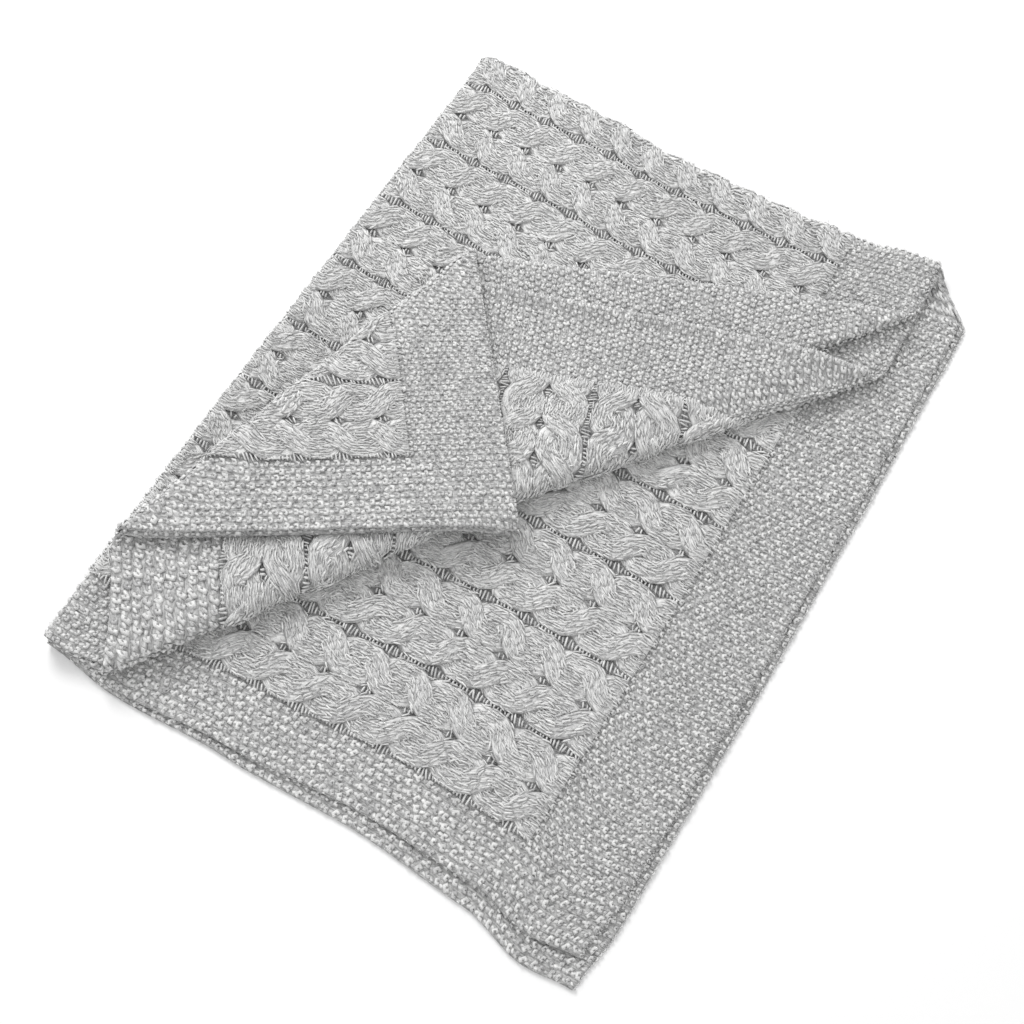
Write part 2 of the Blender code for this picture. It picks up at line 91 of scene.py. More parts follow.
back = Vector((
    math.sin(CAMERA_AZIMUTH) * math.cos(CAMERA_ELEVATION),
    -math.cos(CAMERA_AZIMUTH) * math.cos(CAMERA_ELEVATION),
    math.sin(CAMERA_ELEVATION),
))
camera_data = bpy.data.cameras.new("camera")
camera_data.lens = LENS
camera_data.sensor_width = SENSOR
camera = put_in_scene("camera", camera_data)
camera.location = CAMERA_TARGET + back * CAMERA_DISTANCE
camera.rotation_euler = (-back).to_track_quat("-Z", "Y").to_euler()
bpy.context.scene.camera = camera
print("camera at", [round(part, 3) for part in camera.location])

# %% Floor
FLOOR_HALF = 4.0
FLOOR_WHITE = (0.94, 0.94, 0.94, 1.0)
FLOOR_ROUGHNESS = 0.9

floor_mesh = bpy.data.meshes.new("floor")
floor_corners = [(x * FLOOR_HALF, y * FLOOR_HALF, 0.0) for x, y in ((-1, -1), (1, -1), (1, 1), (-1, 1))]
floor_mesh.from_pydata(floor_corners, [], [(0, 1, 2, 3)])
floor = put_in_scene("floor", floor_mesh)
floor_paint = bpy.data.materials.new("pale_floor")
floor_paint.use_nodes = True
floor_shader = floor_paint.node_tree.nodes["Principled BSDF"]
floor_shader.inputs["Base Color"].default_value = FLOOR_WHITE
floor_shader.inputs["Roughness"].default_value = FLOOR_ROUGHNESS
floor_mesh.materials.append(floor_paint)

# %% Lights
WORLD_WHITE = (1.0, 1.0, 1.0, 1.0)
WORLD_STRENGTH = 0.74
# Columns: name, place in metres, side length in metres, watts
LAMPS = (
    ("key_light", (-1.7, 1.2, 2.0), 1.3, 52.0),
    ("fill_light", (1.6, -1.4, 2.4), 2.4, 8.0),
)

bpy.context.scene.view_settings.view_transform = "Standard"
world = bpy.data.worlds.new("studio")
world.use_nodes = True
world_light = world.node_tree.nodes["Background"]
world_light.inputs["Color"].default_value = WORLD_WHITE
world_light.inputs["Strength"].default_value = WORLD_STRENGTH
bpy.context.scene.world = world
for lamp_name, lamp_place, lamp_side, watts in LAMPS:
    lamp_data = bpy.data.lights.new(lamp_name, "AREA")
    lamp_data.size = lamp_side
    lamp_data.energy = watts
    lamp = put_in_scene(lamp_name, lamp_data)
    lamp.location = lamp_place
    lamp.rotation_euler = (-Vector(lamp_place)).to_track_quat("-Z", "Y").to_euler()
print("lamps", [row[0] for row in LAMPS])

# %% [markdown]
# ## The folds
#
# A knitted sheet bends but hardly stretches, so each of its points can be named by where it lies on the flat
# sheet: s along the ropes and t across them, both from the middle, and how far it stands off the middle of
# the cloth. Stitches are set out in even repeats of the pattern; the cloth lies a little wider or narrower
# in places, and round a sharp bend it gives, so that a stitch keeps its size there. The functions below carry
# such a point to where it lies in the folded throw. They use the sizes of the solid, so whatever is knitted
# on the flat sheet ends up on the folded one. Cloth simulation could fold the sheet too, but it wouldn't
# bring every fold to its own place.

# %% Sizes of the flat sheet and its folds
ALONG = 1.300
ACROSS = 1.800
BORDER = 0.105
CROSSINGS = 22
HALF_KNIT = 0.0020
BORDER_LIFT = 0.0005
# One repeat of the pattern as it is set out: a ladder and a mirrored pair of ropes
REPEAT = 0.1033
# Where it lies on the sheet, which was not folded in its exact middle. Columns: repeats of the pattern from
# the fold, metres across the sheet on the layers where s is below 0, and where it is above 0
CABLE_LINES = (
    (-7.5, -0.835, -0.835), (-7.0, -0.785, -0.785), (-5.5, -0.631, -0.631), (-3.0, -0.3675, -0.3675),
    (0.0, 0.0, 0.0), (3.5, 0.362, 0.337), (4.5, 0.463, 0.430), (5.5, 0.550, 0.525), (7.5, 0.733, 0.696),
    (8.5, 0.822, 0.783),
)
LINES_CHANGE_OVER = 0.15
KNIT_BORDER_LOW = 0.065
KNIT_BORDER_HIGH = 0.095
ROPE_LIFT = 0.0035
ROPE_LIFT_PRESSED = 0.0020
WRONG_SIDE_GAP = 0.0012
RIGHT_SIDE_GAP = 0.0012
FIRST_FOLD_HALF_ARC = 0.0070
SECOND_FOLD_HALF_ARC = 0.0130
TURN_BACK_ARC = 0.0210
TIP_ARC = 0.0210
FIRST_FOLD_PUFF = 0.0016
SECOND_FOLD_PUFF = 0.0020
TURN_BACK_PUFF = 0.0010
PUFF_REACH = 0.030
SHEAR_BEFORE = 0.034
SHEAR_AFTER = 0.008
NOSE_SHOWN = 0.6

# Columns: left corner, top corner, right corner, bottom corner, for the layers from the top one down
LAYER_CORNERS = {
    1: ((-0.028, 0.012), (-0.050, 0.920), (0.577, 0.926), (0.609, -0.043)),
    2: ((-0.028, 0.012), (-0.050, 0.920), (0.582, 0.918), (0.595, -0.108)),
    3: ((-0.028, 0.009), (-0.050, 0.920), (0.631, 0.893), (0.599, 0.032)),
    4: ((-0.028, 0.009), (-0.050, 0.920), (0.640, 0.896), (0.608, 0.004)),
}
# Columns: share of the way along the edge, how far the edge bows there, in metres
SECOND_FOLD_BOW = (
    (0.0, -0.012), (0.05, -0.003), (0.15, -0.009), (0.31, -0.015), (0.42, -0.026),
    (0.72, -0.026), (0.86, -0.019), (0.94, -0.005), (1.0, 0.0),
)
OPEN_SIDE_BOW = (
    (0.0, 0.0), (0.13, -0.007), (0.35, 0.003), (0.62, 0.013), (0.80, 0.009), (0.92, -0.006), (1.0, 0.0),
)
UPPER_SIDE_BOW = ((0.0, 0.0), (0.15, 0.018), (0.45, 0.0), (1.0, 0.0))
OPEN_END_BOW = ((0.0, 0.004), (0.08, 0.012), (0.35, 0.012), (0.65, 0.008), (0.90, 0.003), (1.0, 0.0))
TURN_BOW = ((0.0, 0.0), (0.25, -0.010), (0.50, -0.022), (0.72, -0.014), (1.0, 0.0))
TURN_BOW_REACH = 0.110

TURN_START_UPPER = (0.052, 0.0505)
TURN_END_UPPER = (0.573, 0.853)
TURN_START_LOWER = (0.056, 0.0475)
TURN_END_LOWER = (0.559, 0.737)
CLIMB_ENDS = 0.010
CLIMB_LENGTH = 0.045
LONE_SPREAD = 0.022
TIP_START = (0.105, 0.639)
TIP_END = (-0.017, 0.152)
TIP_CORNER = (0.329, 0.363)
DROOP_STARTS = 0.006
DROOP_LENGTH = 0.056

# How far the free end of the flap's upper layer curls up, and over what length
HEM_CURL = 0.0070
HEM_CURL_LENGTH = 0.018
# Columns: share of the height, waves per metre in X, in Y, phase
WAVES = ((0.035, 1.3, 0.9, 0.4), (0.025, -2.1, 1.7, 1.9), (0.020, 3.2, 2.4, 4.0))
# From the corner of the layers' plan to the middle of the solid's box
PLAN_SHIFT = (0.2912, 0.4688)
# Columns: metres past a bend's line on the even sheet, metres past it once the cloth has given
GIVE = ((-0.030, -0.030), (-0.008, 0.0), (0.029, 0.021), (0.055, 0.055))
GIVE_FADE = 0.025
LEAST_SLOPE = 0.1
FLAT_STEP = 0.0001
# Metres from an edge at which ropes begin to stand at their full height or to be pressed, and metres in which
# they change over
STACK_FIELD_MARGIN = 0.010
FLAP_FIELD_FROM = 0.070
FLAP_FIELD_SOFT = 0.060
THIRD_SHOWS_FROM = 0.010
THIRD_SHOWS_SOFT = 0.020
CORNER_MARGIN = 0.016
CORNER_SOFT = 0.030
NOSE_SHOWS_FROM = -0.004
NOSE_SHOWS_SOFT = 0.008
TIP_MARGIN = 0.004
TIP_SOFT = 0.025

HALF_ALONG = ALONG / 2
HALF_ACROSS = ACROSS / 2
FIELD_ALONG = HALF_ALONG - BORDER
REPEATS = round(CABLE_LINES[-1][0] - CABLE_LINES[0][0])
FIELD_LOW = CABLE_LINES[0][0] * REPEAT
FIELD_HIGH = CABLE_LINES[-1][0] * REPEAT
KNIT_LOW = FIELD_LOW - KNIT_BORDER_LOW
KNIT_HIGH = FIELD_HIGH + KNIT_BORDER_HIGH
PITCH = 2 * FIELD_ALONG / CROSSINGS
PAIR = 2 * HALF_KNIT + WRONG_SIDE_GAP
NOSE_LIFT = NOSE_SHOWN * (ROPE_LIFT - ROPE_LIFT_PRESSED)
U_LENGTH = HALF_ALONG - FIRST_FOLD_HALF_ARC
V_LENGTH = HALF_ACROSS - SECOND_FOLD_HALF_ARC
print("one repeat is", round(REPEAT * 1000, 1), "mm wide and a crossing", round(PITCH * 1000, 1), "mm long")

# %% Small helpers for soft steps and lines on the plan
def smooth(value):
    """0 below 0, 1 above 1 and a soft step between."""
    value = np.clip(value, 0.0, 1.0)
    return value * value * (3.0 - 2.0 * value)


def mix(first, second, share):
    """The first value where share is 0, the second where it is 1."""
    return first + (second - first) * share


def bowed(table, share):
    """The offset that a table of bows gives, rounded between its rows."""
    places = np.array([row[0] for row in table])
    offsets = np.array([row[1] for row in table])
    share = np.clip(share, 0.0, 1.0)
    row = np.clip(np.searchsorted(places, share, side="right") - 1, 0, len(table) - 2)
    between = (share - places[row]) / (places[row + 1] - places[row])
    return mix(offsets[row], offsets[row + 1], smooth(between))


def line_frame(start, end):
    """A line's start, its direction, and the direction to its right."""
    start = np.array(start)
    ahead = np.array(end) - start
    ahead = ahead / np.linalg.norm(ahead)
    return start, ahead, np.array((ahead[1], -ahead[0]))


def beside(plan, start, end):
    """How far plan points lie to the right of a line."""
    origin, _, right = line_frame(start, end)
    return (plan - origin) @ right


# %% Where the four layers lie and how high they are
def layer_plan(layer, u, v):
    """Where a layer's point lies on the floor: u runs from the first fold, v from the open side."""
    left, top, right, bottom = (np.array(corner) for corner in LAYER_CORNERS[layer])
    u_share = u[:, None]
    v_share = v[:, None]
    near = (1 - u_share) * left + u_share * bottom
    far = (1 - u_share) * top + u_share * right
    plan = (1 - v_share) * near + v_share * far
    side = UPPER_SIDE_BOW if layer < 3 else OPEN_SIDE_BOW
    v_in = np.clip(v, 0.0, 1.0)
    plan[:, 1] += bowed(side, u) * (1 - v_in) ** 2 + bowed(SECOND_FOLD_BOW, u) * v_in ** 3
    if layer > 2:
        plan[:, 0] += bowed(OPEN_END_BOW, v) * np.clip(u, 0.0, 1.0) ** 2
    return plan


def field_share(plan):
    """1 over the cables of the stack, falling to 0 over its plain border."""
    lower = LAYER_CORNERS[4]
    from_end = beside(plan, lower[2], lower[3])
    from_side = beside(plan, lower[3], lower[0])
    inner = BORDER - STACK_FIELD_MARGIN
    outer = STACK_FIELD_MARGIN
    return smooth((from_end - outer) / (inner - outer)) * smooth((from_side - outer) / (inner - outer))


def stack_levels(plan):
    """Height of the middle of layer 3, and of the top of layer 1 where it is pressed."""
    from_fold = beside(plan, *LAYER_CORNERS[4][:2]) + FIRST_FOLD_HALF_ARC
    puff = np.exp(-((from_fold / PUFF_REACH) ** 2))
    knit = HALF_KNIT + BORDER_LIFT + ROPE_LIFT_PRESSED * field_share(plan)
    third = HALF_KNIT + PAIR + 2 * FIRST_FOLD_PUFF * puff
    first = third + PAIR + 2 * knit + RIGHT_SIDE_GAP + 2 * (FIRST_FOLD_PUFF + NOSE_LIFT) * puff
    return third, first + knit + NOSE_LIFT * puff


def covered(plan, corners, margin, soft):
    """1 under a turned-over part of the sheet, falling to 0 over soft metres outside it."""
    share = np.ones(len(plan))
    for start, end in zip(corners, corners[1:] + corners[:1]):
        share = share * smooth(1 + (beside(plan, start, end) + margin) / soft)
    return share


TURNED_CORNERS = (TURN_START_LOWER, TIP_END, TIP_START, TURN_END_LOWER)
TIP_CORNERS = (TIP_END, TIP_START, TIP_CORNER)
TIP_RIGHT = line_frame(TIP_END, TIP_START)[2]


def flap_level(plan):
    """Height of the middle of the turned-back upper layer, the lower one of the flap's two."""
    top = stack_levels(plan)[1]
    from_nose = beside(plan, TURN_START_UPPER, TURN_END_UPPER)
    puff = TURN_BACK_PUFF * np.exp(-((from_nose / PUFF_REACH) ** 2))
    return top + RIGHT_SIDE_GAP + HALF_KNIT + ROPE_LIFT_PRESSED + BORDER_LIFT + 2 * puff


def tip_level(plan):
    """Height of the middle of the lower layer of the tip, on the flap or drooping in front of it."""
    flap_field = smooth((beside(plan, TIP_START, TURN_END_LOWER) - FLAP_FIELD_FROM) / FLAP_FIELD_SOFT)
    on_flap = flap_level(plan) + PAIR + HALF_KNIT + BORDER_LIFT + ROPE_LIFT_PRESSED * (1 + flap_field)
    on_third = stack_levels(plan)[0] + HALF_KNIT + ROPE_LIFT
    past_edge = beside(plan, TURN_START_LOWER, TURN_END_LOWER)
    droop = smooth((past_edge - DROOP_STARTS) / DROOP_LENGTH)
    return mix(on_flap, on_third, droop) + RIGHT_SIDE_GAP + HALF_KNIT + BORDER_LIFT


def turned_back(past, arc):
    """Where a point so far past a bend's line goes: it stays before it, and comes back behind the bend."""
    return np.where(past > arc, arc - past, np.minimum(past, 0.0))


# %% Where a flat point lies before it has any thickness
def lay_plain(s, t):
    """The plain places of points of the sheet: on the stack, turned back and on the tip."""
    first_angle = np.clip(0.5 - 0.5 * s / FIRST_FOLD_HALF_ARC, 0.0, 1.0) * math.pi
    under = (1 - np.cos(first_angle)) / 2
    over = smooth((t + SHEAR_BEFORE) / (SHEAR_BEFORE + SHEAR_AFTER))
    u_from_fold = np.maximum(np.abs(s) - FIRST_FOLD_HALF_ARC, 0.0)
    v_from_fold = np.maximum(np.abs(t) - SECOND_FOLD_HALF_ARC, 0.0)

    def plan_of(u, v):
        lower = mix(layer_plan(3, u, v), layer_plan(4, u, v), under[:, None])
        upper = mix(layer_plan(2, u, v), layer_plan(1, u, v), under[:, None])
        return mix(lower, upper, over[:, None])

    stack = plan_of(u_from_fold / U_LENGTH, 1 - v_from_fold / V_LENGTH)
    start = mix(np.array(TURN_START_LOWER), np.array(TURN_START_UPPER), under[:, None])
    ahead = mix(np.array(TURN_END_LOWER), np.array(TURN_END_UPPER), under[:, None]) - start
    length = np.linalg.norm(ahead, axis=1)
    ahead = ahead / length[:, None]
    across = np.stack((ahead[:, 1], -ahead[:, 0]), axis=1)
    from_start = stack - start
    along = (from_start * ahead).sum(axis=1)
    past_turn = np.where(t > SECOND_FOLD_HALF_ARC, (from_start * across).sum(axis=1), -1.0)
    turned = past_turn > TURN_BACK_ARC
    flap = stack + across * (turned_back(past_turn, TURN_BACK_ARC) - past_turn)[:, None]
    spread = beside(stack - across * past_turn[:, None], TURN_START_UPPER, TURN_END_UPPER)
    past_tip = np.where(turned, -beside(flap, TIP_END, TIP_START), -1.0)
    tip = flap - TIP_RIGHT * (turned_back(past_tip, TIP_ARC) - past_tip)[:, None]
    return dict(
        s=s, t=t, first_angle=first_angle, under=under, plan_of=plan_of, u_from_fold=u_from_fold,
        v_from_fold=v_from_fold, stack=stack, start=start, across=across, along_share=along / length,
        past_turn=past_turn, turned=turned, flap=flap, spread=spread, past_tip=past_tip, tip=tip,
    )


def lay_out(s, knit):
    """Lays out points of the even pattern: spreads it over the sheet, and lets the cloth give at bends."""
    marks = [KNIT_LOW] + [row[0] * REPEAT for row in CABLE_LINES] + [KNIT_HIGH]
    one, other = (
        np.interp(knit, marks, [-HALF_ACROSS] + [row[column] for row in CABLE_LINES] + [HALF_ACROSS])
        for column in (1, 2)
    )
    t = mix(one, other, smooth(s / LINES_CHANGE_OVER))
    laid = lay_plain(s, t)
    inner = laid["under"] < 0.5
    across = laid["across"]
    mirrored = TIP_RIGHT - 2 * across * (across @ TIP_RIGHT)[:, None]
    toward = np.where(inner[:, None], across, -mirrored)
    past = np.where(inner, laid["past_turn"], laid["past_tip"])
    given = np.interp(past, [row[0] for row in GIVE], [row[1] for row in GIVE])
    given = np.where((past > GIVE[0][0]) & (past < GIVE[-1][0]), given - past, 0.0)
    from_edge = np.minimum(np.minimum(HALF_ALONG - np.abs(s), HALF_ACROSS - np.abs(t)), np.abs(s))
    given = given * smooth(from_edge / GIVE_FADE)

    def slope(s, t):
        return ((lay_plain(s, t)["stack"] - laid["stack"]) * toward).sum(axis=1) / FLAT_STEP

    in_s = slope(s + FLAT_STEP, t)
    in_t = slope(s, t + FLAT_STEP)
    share = given / np.maximum(in_s ** 2 + in_t ** 2, LEAST_SLOPE)
    return lay_plain(s + share * in_s, t + share * in_t)


def shown_share(laid):
    """1 where the ropes show at full height, 0 where another layer presses them."""
    s = laid["s"]
    t = laid["t"]
    past_turn = laid["past_turn"]
    past_tip = laid["past_tip"]
    inner = laid["under"] < 0.5
    past_edge = beside(laid["stack"], TURN_START_LOWER, TURN_END_LOWER)
    third = smooth((past_edge - THIRD_SHOWS_FROM) / THIRD_SHOWS_SOFT)
    first = 1 - covered(laid["stack"], TURNED_CORNERS, CORNER_MARGIN, CORNER_SOFT)
    nose = smooth((past_turn - NOSE_SHOWS_FROM) / NOSE_SHOWS_SOFT)
    flap = 1 - covered(laid["flap"], TIP_CORNERS, TIP_MARGIN, TIP_SOFT)
    shown = np.where(t < 0, np.where(inner, third, 0.0), np.where(inner, 0.0, first))
    shown = np.where(inner & (past_turn > NOSE_SHOWS_FROM), nose, shown)
    shown = np.where(laid["turned"], np.where(inner, flap, smooth(past_tip / TIP_ARC)), shown)
    shown = np.where(inner & (past_tip > TIP_ARC), 0.0, shown)
    at_fold = (np.abs(s) < FIRST_FOLD_HALF_ARC) | ((np.abs(t) < SECOND_FOLD_HALF_ARC) & ~inner)
    return np.where(at_fold, NOSE_SHOWN, shown)


# %% The fold itself
def turn(distance, height, axis, arc):
    """Bends a sheet up and back over a line: distance is how far past the line a point lay."""
    angle = np.clip(distance / arc, 0.0, 1.0) * math.pi
    radius = axis - height
    return turned_back(distance, arc) + radius * np.sin(angle), axis - radius * np.cos(angle)


def place(s, knit, offset):
    """Carries points of the even pattern, each so far off the middle of the cloth, to where they lie."""
    laid = lay_out(s, knit)
    s = laid["s"]
    t = laid["t"]
    first_angle = laid["first_angle"]
    inner = laid["under"] < 0.5
    upper = t > SECOND_FOLD_HALF_ARC
    second_angle = np.clip(0.5 + 0.5 * t / SECOND_FOLD_HALF_ARC, 0.0, 1.0) * math.pi

    # First fold: each pair of layers
    first_puff = np.exp(-((s / PUFF_REACH) ** 2))
    half_pair = PAIR / 2 + FIRST_FOLD_PUFF * first_puff
    radius = half_pair + offset
    u = (laid["u_from_fold"] - radius * np.sin(first_angle)) / U_LENGTH
    in_pair = radius * np.cos(first_angle)

    # Second fold: the upper pair over the lower one
    second_puff = SECOND_FOLD_PUFF * np.exp(-((t / PUFF_REACH) ** 2))
    knit = HALF_KNIT + BORDER_LIFT + ROPE_LIFT_PRESSED * field_share(laid["stack"])
    between = RIGHT_SIDE_GAP + 2 * (knit + second_puff + NOSE_LIFT * first_puff)
    half_stack = half_pair + between / 2
    axis = HALF_KNIT + half_pair + half_stack
    second_radius = half_stack - in_pair
    v = 1 + (second_radius * np.sin(second_angle) - laid["v_from_fold"]) / V_LENGTH
    plan = laid["plan_of"](u, v)
    height = axis - second_radius * np.cos(second_angle)

    # The loose corner of the upper layers, turned back
    second_level = HALF_KNIT + 2 * half_pair + between
    first_level = second_level + 2 * half_pair
    first_flap = flap_level(laid["flap"])
    behind = np.maximum(laid["past_turn"] - TURN_BACK_ARC, 0.0)
    climb = smooth((behind - laid["spread"] + CLIMB_ENDS + CLIMB_LENGTH) / CLIMB_LENGTH)
    alone = smooth((laid["spread"] - LONE_SPREAD) / LONE_SPREAD) * (1 - climb) * inner
    lone_flap = second_level + 2 * (HALF_KNIT + WRONG_SIDE_GAP + TURN_BACK_PUFF)
    second_flap = mix(first_flap + PAIR, lone_flap, alone)
    turn_axis = np.where(inner, (second_level + second_flap) / 2, (first_level + first_flap) / 2)
    past = np.where(upper, ((plan - laid["start"]) * laid["across"]).sum(axis=1), -1.0)
    moved, flap_height = turn(past, height, turn_axis, TURN_BACK_ARC)
    bow = bowed(TURN_BOW, laid["along_share"]) * np.exp(-((moved / TURN_BOW_REACH) ** 2))
    plan = plan + laid["across"] * np.where(upper, moved - past + bow, 0.0)[:, None]
    height = np.where(past > 0, flap_height, height)

    # The free end of the flap's upper layer, curled up
    curl = smooth((s - HALF_ALONG + HEM_CURL_LENGTH) / HEM_CURL_LENGTH)
    curl = curl * smooth(-laid["past_tip"] / HEM_CURL_LENGTH)
    height = height + np.where(inner & laid["turned"], HEM_CURL * curl, 0.0)

    # The tip of that corner, turned down again
    past = np.where(laid["turned"], -beside(plan, TIP_END, TIP_START), -1.0)
    tip_axis = (second_flap + tip_level(laid["tip"])) / 2
    moved, tip_height = turn(past, height, tip_axis, TIP_ARC)
    plan = plan - TIP_RIGHT * (moved - past)[:, None]
    height = np.where(past > 0, tip_height, height)

    # Gentle unevenness, which leaves the floor flat
    swell = np.ones(len(s))
    for share, in_x, in_y, phase in WAVES:
        swell = swell + share * np.sin(2 * math.pi * (in_x * plan[:, 0] + in_y * plan[:, 1]) + phase)
    return np.column_stack((plan - np.array(PLAN_SHIFT), np.maximum(height, 0.0) * swell))


# %% [markdown]
# ## What can be seen
#
# Stitches are knitted only where they can be seen, because the rest lies between the layers. From a grid of
# points just off the solid, rays go out to all sides, and a point from which any ray leaves the throw is one
# that can be seen.

# %% Rays from the sheet to the open air
RAY_STEP = 0.010
RAY_START = 0.0020
RAY_REACH = 2.0
# Columns: elevation in degrees, number of rays round
RAY_RINGS = ((4.0, 12), (22.0, 12), (50.0, 8), (88.0, 1))
SEEN_GROWTH = 2
LOWEST_START = 0.0015

solid_points = [tuple(vertex.co) for vertex in throw.data.vertices]
solid_faces = [tuple(polygon.vertices) for polygon in throw.data.polygons]
solid_tree = BVHTree.FromPolygons(solid_points, solid_faces)
rays = []
for elevation, number in RAY_RINGS:
    for step in range(number):
        around = 2 * math.pi * step / number
        flat_part = math.cos(math.radians(elevation))
        height_part = math.sin(math.radians(elevation))
        rays.append(Vector((math.cos(around) * flat_part, math.sin(around) * flat_part, height_part)))

seen_s = np.linspace(-HALF_ALONG, HALF_ALONG, int(ALONG / RAY_STEP) + 1)
seen_t = np.linspace(KNIT_LOW, KNIT_HIGH, int((KNIT_HIGH - KNIT_LOW) / RAY_STEP) + 1)


def relief_of_solid(laid):
    """How far the solid's ropes stand up from its plain knit, at most."""
    inside = (np.abs(laid["s"]) < FIELD_ALONG) & (np.abs(laid["t"]) < HALF_ACROSS - KNIT_BORDER_LOW)
    return np.where(inside, mix(ROPE_LIFT_PRESSED, ROPE_LIFT, shown_share(laid)), BORDER_LIFT)


def open_to_air(side):
    """A grid over the sheet: True where this side of it can be seen."""
    s, t = (axis.ravel() for axis in np.meshgrid(seen_s, seen_t, indexing="ij"))
    lift = relief_of_solid(lay_out(s, t)) if side > 0 else 0.0
    points = place(s, t, side * (HALF_KNIT + lift + RAY_START))
    found = np.zeros(len(s), dtype=bool)
    for number, point in enumerate(points):
        start = Vector(point)
        start.z = max(start.z, LOWEST_START)
        for ray in rays:
            if solid_tree.ray_cast(start, ray, RAY_REACH)[0] is None:
                found[number] = True
                break
    found = found.reshape(len(seen_s), len(seen_t))
    for _ in range(SEEN_GROWTH):
        grown = found.copy()
        grown[1:] |= found[:-1]
        grown[:-1] |= found[1:]
        grown[:, 1:] |= found[:, :-1]
        grown[:, :-1] |= found[:, 1:]
        found = grown
    return found


seen_grids = {side: open_to_air(side) for side in (1, -1)}
print("seen shares", {side: round(float(grid.mean()), 3) for side, grid in seen_grids.items()})


def seen(s, t, side=1):
    """True where the nearest point of the grid of this side can be seen."""
    row = np.clip(np.rint((s - seen_s[0]) / (seen_s[1] - seen_s[0])), 0, len(seen_s) - 1).astype(int)
    column = np.clip(np.rint((t - seen_t[0]) / (seen_t[1] - seen_t[0])), 0, len(seen_t) - 1).astype(int)
    return seen_grids[side][row, column]


# %% [markdown]
# ## The yarn
#
# The yarn is marled: light and darker grey fibres are spun together, so each stitch shows pale and dark
# flecks. Soft alpaca has no gloss, but its fine hairs catch light at grazing angles, which is what sheen is
# for. The flecks come from noise on the object's own coordinates, the streaks of the plies from numbers that
# each point has along and round its yarn, and each stitch has a shade of its own.

# %% Yarn and ground materials
YARN_GREYS = ((0.430, 0.430, 0.434, 1.0), (0.740, 0.740, 0.735, 1.0), (0.960, 0.960, 0.950, 1.0))
STRAND_GREYS = ((0.340, 0.340, 0.343, 1.0), (0.660, 0.660, 0.656, 1.0), (0.940, 0.940, 0.930, 1.0))
# The ground's greys are painted shade: darker than the yarn's, for the shade that lies in the gaps between
# stitches
GROUND_PAINTED_SHADE_GREYS = ((0.150, 0.150, 0.152, 1.0), (0.400, 0.400, 0.398, 1.0), (0.640, 0.640, 0.635, 1.0))
GREY_STOPS = (0.28, 0.48, 0.70)
FLECK_SCALE = 420.0
HAIR_SCALE = 1500.0
# Noise steps a millimetre along the yarn, a millimetre across it, and from stitch to stitch
PLY_TURNS = (0.14, 0.75, 37.0)
PLY_SHARE = 0.95
FLECK_SHARE = 0.40
MEAN_TONE = 0.49
# How far the tone may differ from stitch to stitch and from strand to strand; on the sheet behind them, how
# much darker its painted shade is over the field than over the border
YARN_SHADES = 0.18
STRAND_SHADES = 0.06
GROUND_PAINTED_SHADE_GAIN = 0.30
WOOL = {"Roughness": 0.95, "Specular IOR Level": 0.15, "Sheen Weight": 0.25, "Sheen Roughness": 0.6}
NOISE_ROUGHNESS = 0.65
FLECK_DETAIL = 3.0
YARN_DETAIL = 2.0
# Plies and hairs also stand up a little from the yarn, by a bump in metres
BUMP_STRENGTH = 0.5
BUMP_DISTANCE = 0.0008


def yarn_material(name, greys, shade_gain):
    """Marled wool: flecks of three greys, streaks along each stitch, and a soft sheen."""
    material = bpy.data.materials.new(name)
    material.use_nodes = True
    tree = material.node_tree
    shader = tree.nodes["Principled BSDF"]
    for label, value in WOOL.items():
        shader.inputs[label].default_value = value

    def number(label):
        return add_node(tree, "ShaderNodeAttribute", attribute_name=label).outputs["Fac"]

    def noise(vector, scale, detail):
        inputs = {"Vector": vector, "Scale": scale, "Detail": detail, "Roughness": NOISE_ROUGHNESS}
        return add_node(tree, "ShaderNodeTexNoise", inputs).outputs["Fac"]

    def scaled(value, factor, added):
        inputs = {0: value, 1: factor, 2: added}
        return add_node(tree, "ShaderNodeMath", inputs, operation="MULTIPLY_ADD").outputs[0]

    in_object = add_node(tree, "ShaderNodeTexCoord").outputs["Object"]
    flecks = noise(in_object, FLECK_SCALE, FLECK_DETAIL)
    hairs = noise(in_object, HAIR_SCALE, YARN_DETAIL)
    labels = ("lengthwise", "around", "shade")
    turns = [scaled(number(label), factor, 0.0) for label, factor in zip(labels, PLY_TURNS)]
    in_stitch = add_node(tree, "ShaderNodeCombineXYZ", dict(zip("XYZ", turns)))
    plies = noise(in_stitch.outputs["Vector"], 1.0, YARN_DETAIL)
    # The shade attribute: each stitch's and strand's own tone at random, and on the ground painted shade,
    # darker over the field than over the border
    total = scaled(number("shade"), shade_gain, MEAN_TONE - (PLY_SHARE + FLECK_SHARE + shade_gain) / 2)
    total = scaled(plies, PLY_SHARE, total)
    total = scaled(flecks, FLECK_SHARE, total)
    ramp = add_node(tree, "ShaderNodeValToRGB", {"Fac": total})
    ramp.color_ramp.elements.new(GREY_STOPS[1])
    for element, stop, grey in zip(ramp.color_ramp.elements, GREY_STOPS, greys):
        element.position = stop
        element.color = grey
    tree.links.new(ramp.outputs["Color"], shader.inputs["Base Color"])
    bump = add_node(tree, "ShaderNodeBump", {
        "Strength": BUMP_STRENGTH, "Distance": BUMP_DISTANCE, "Height": scaled(plies, 1.0, hairs),
    })
    tree.links.new(bump.outputs["Normal"], shader.inputs["Normal"])
    return material


yarn = yarn_material("marled_yarn", YARN_GREYS, YARN_SHADES)
rope_yarn = yarn_material("marled_ropes", STRAND_GREYS, STRAND_SHADES)
ground_in_painted_shade = yarn_material("knit_in_painted_shade", GROUND_PAINTED_SHADE_GREYS, GROUND_PAINTED_SHADE_GAIN)
print("yarn materials", yarn.name, rope_yarn.name, ground_in_painted_shade.name)
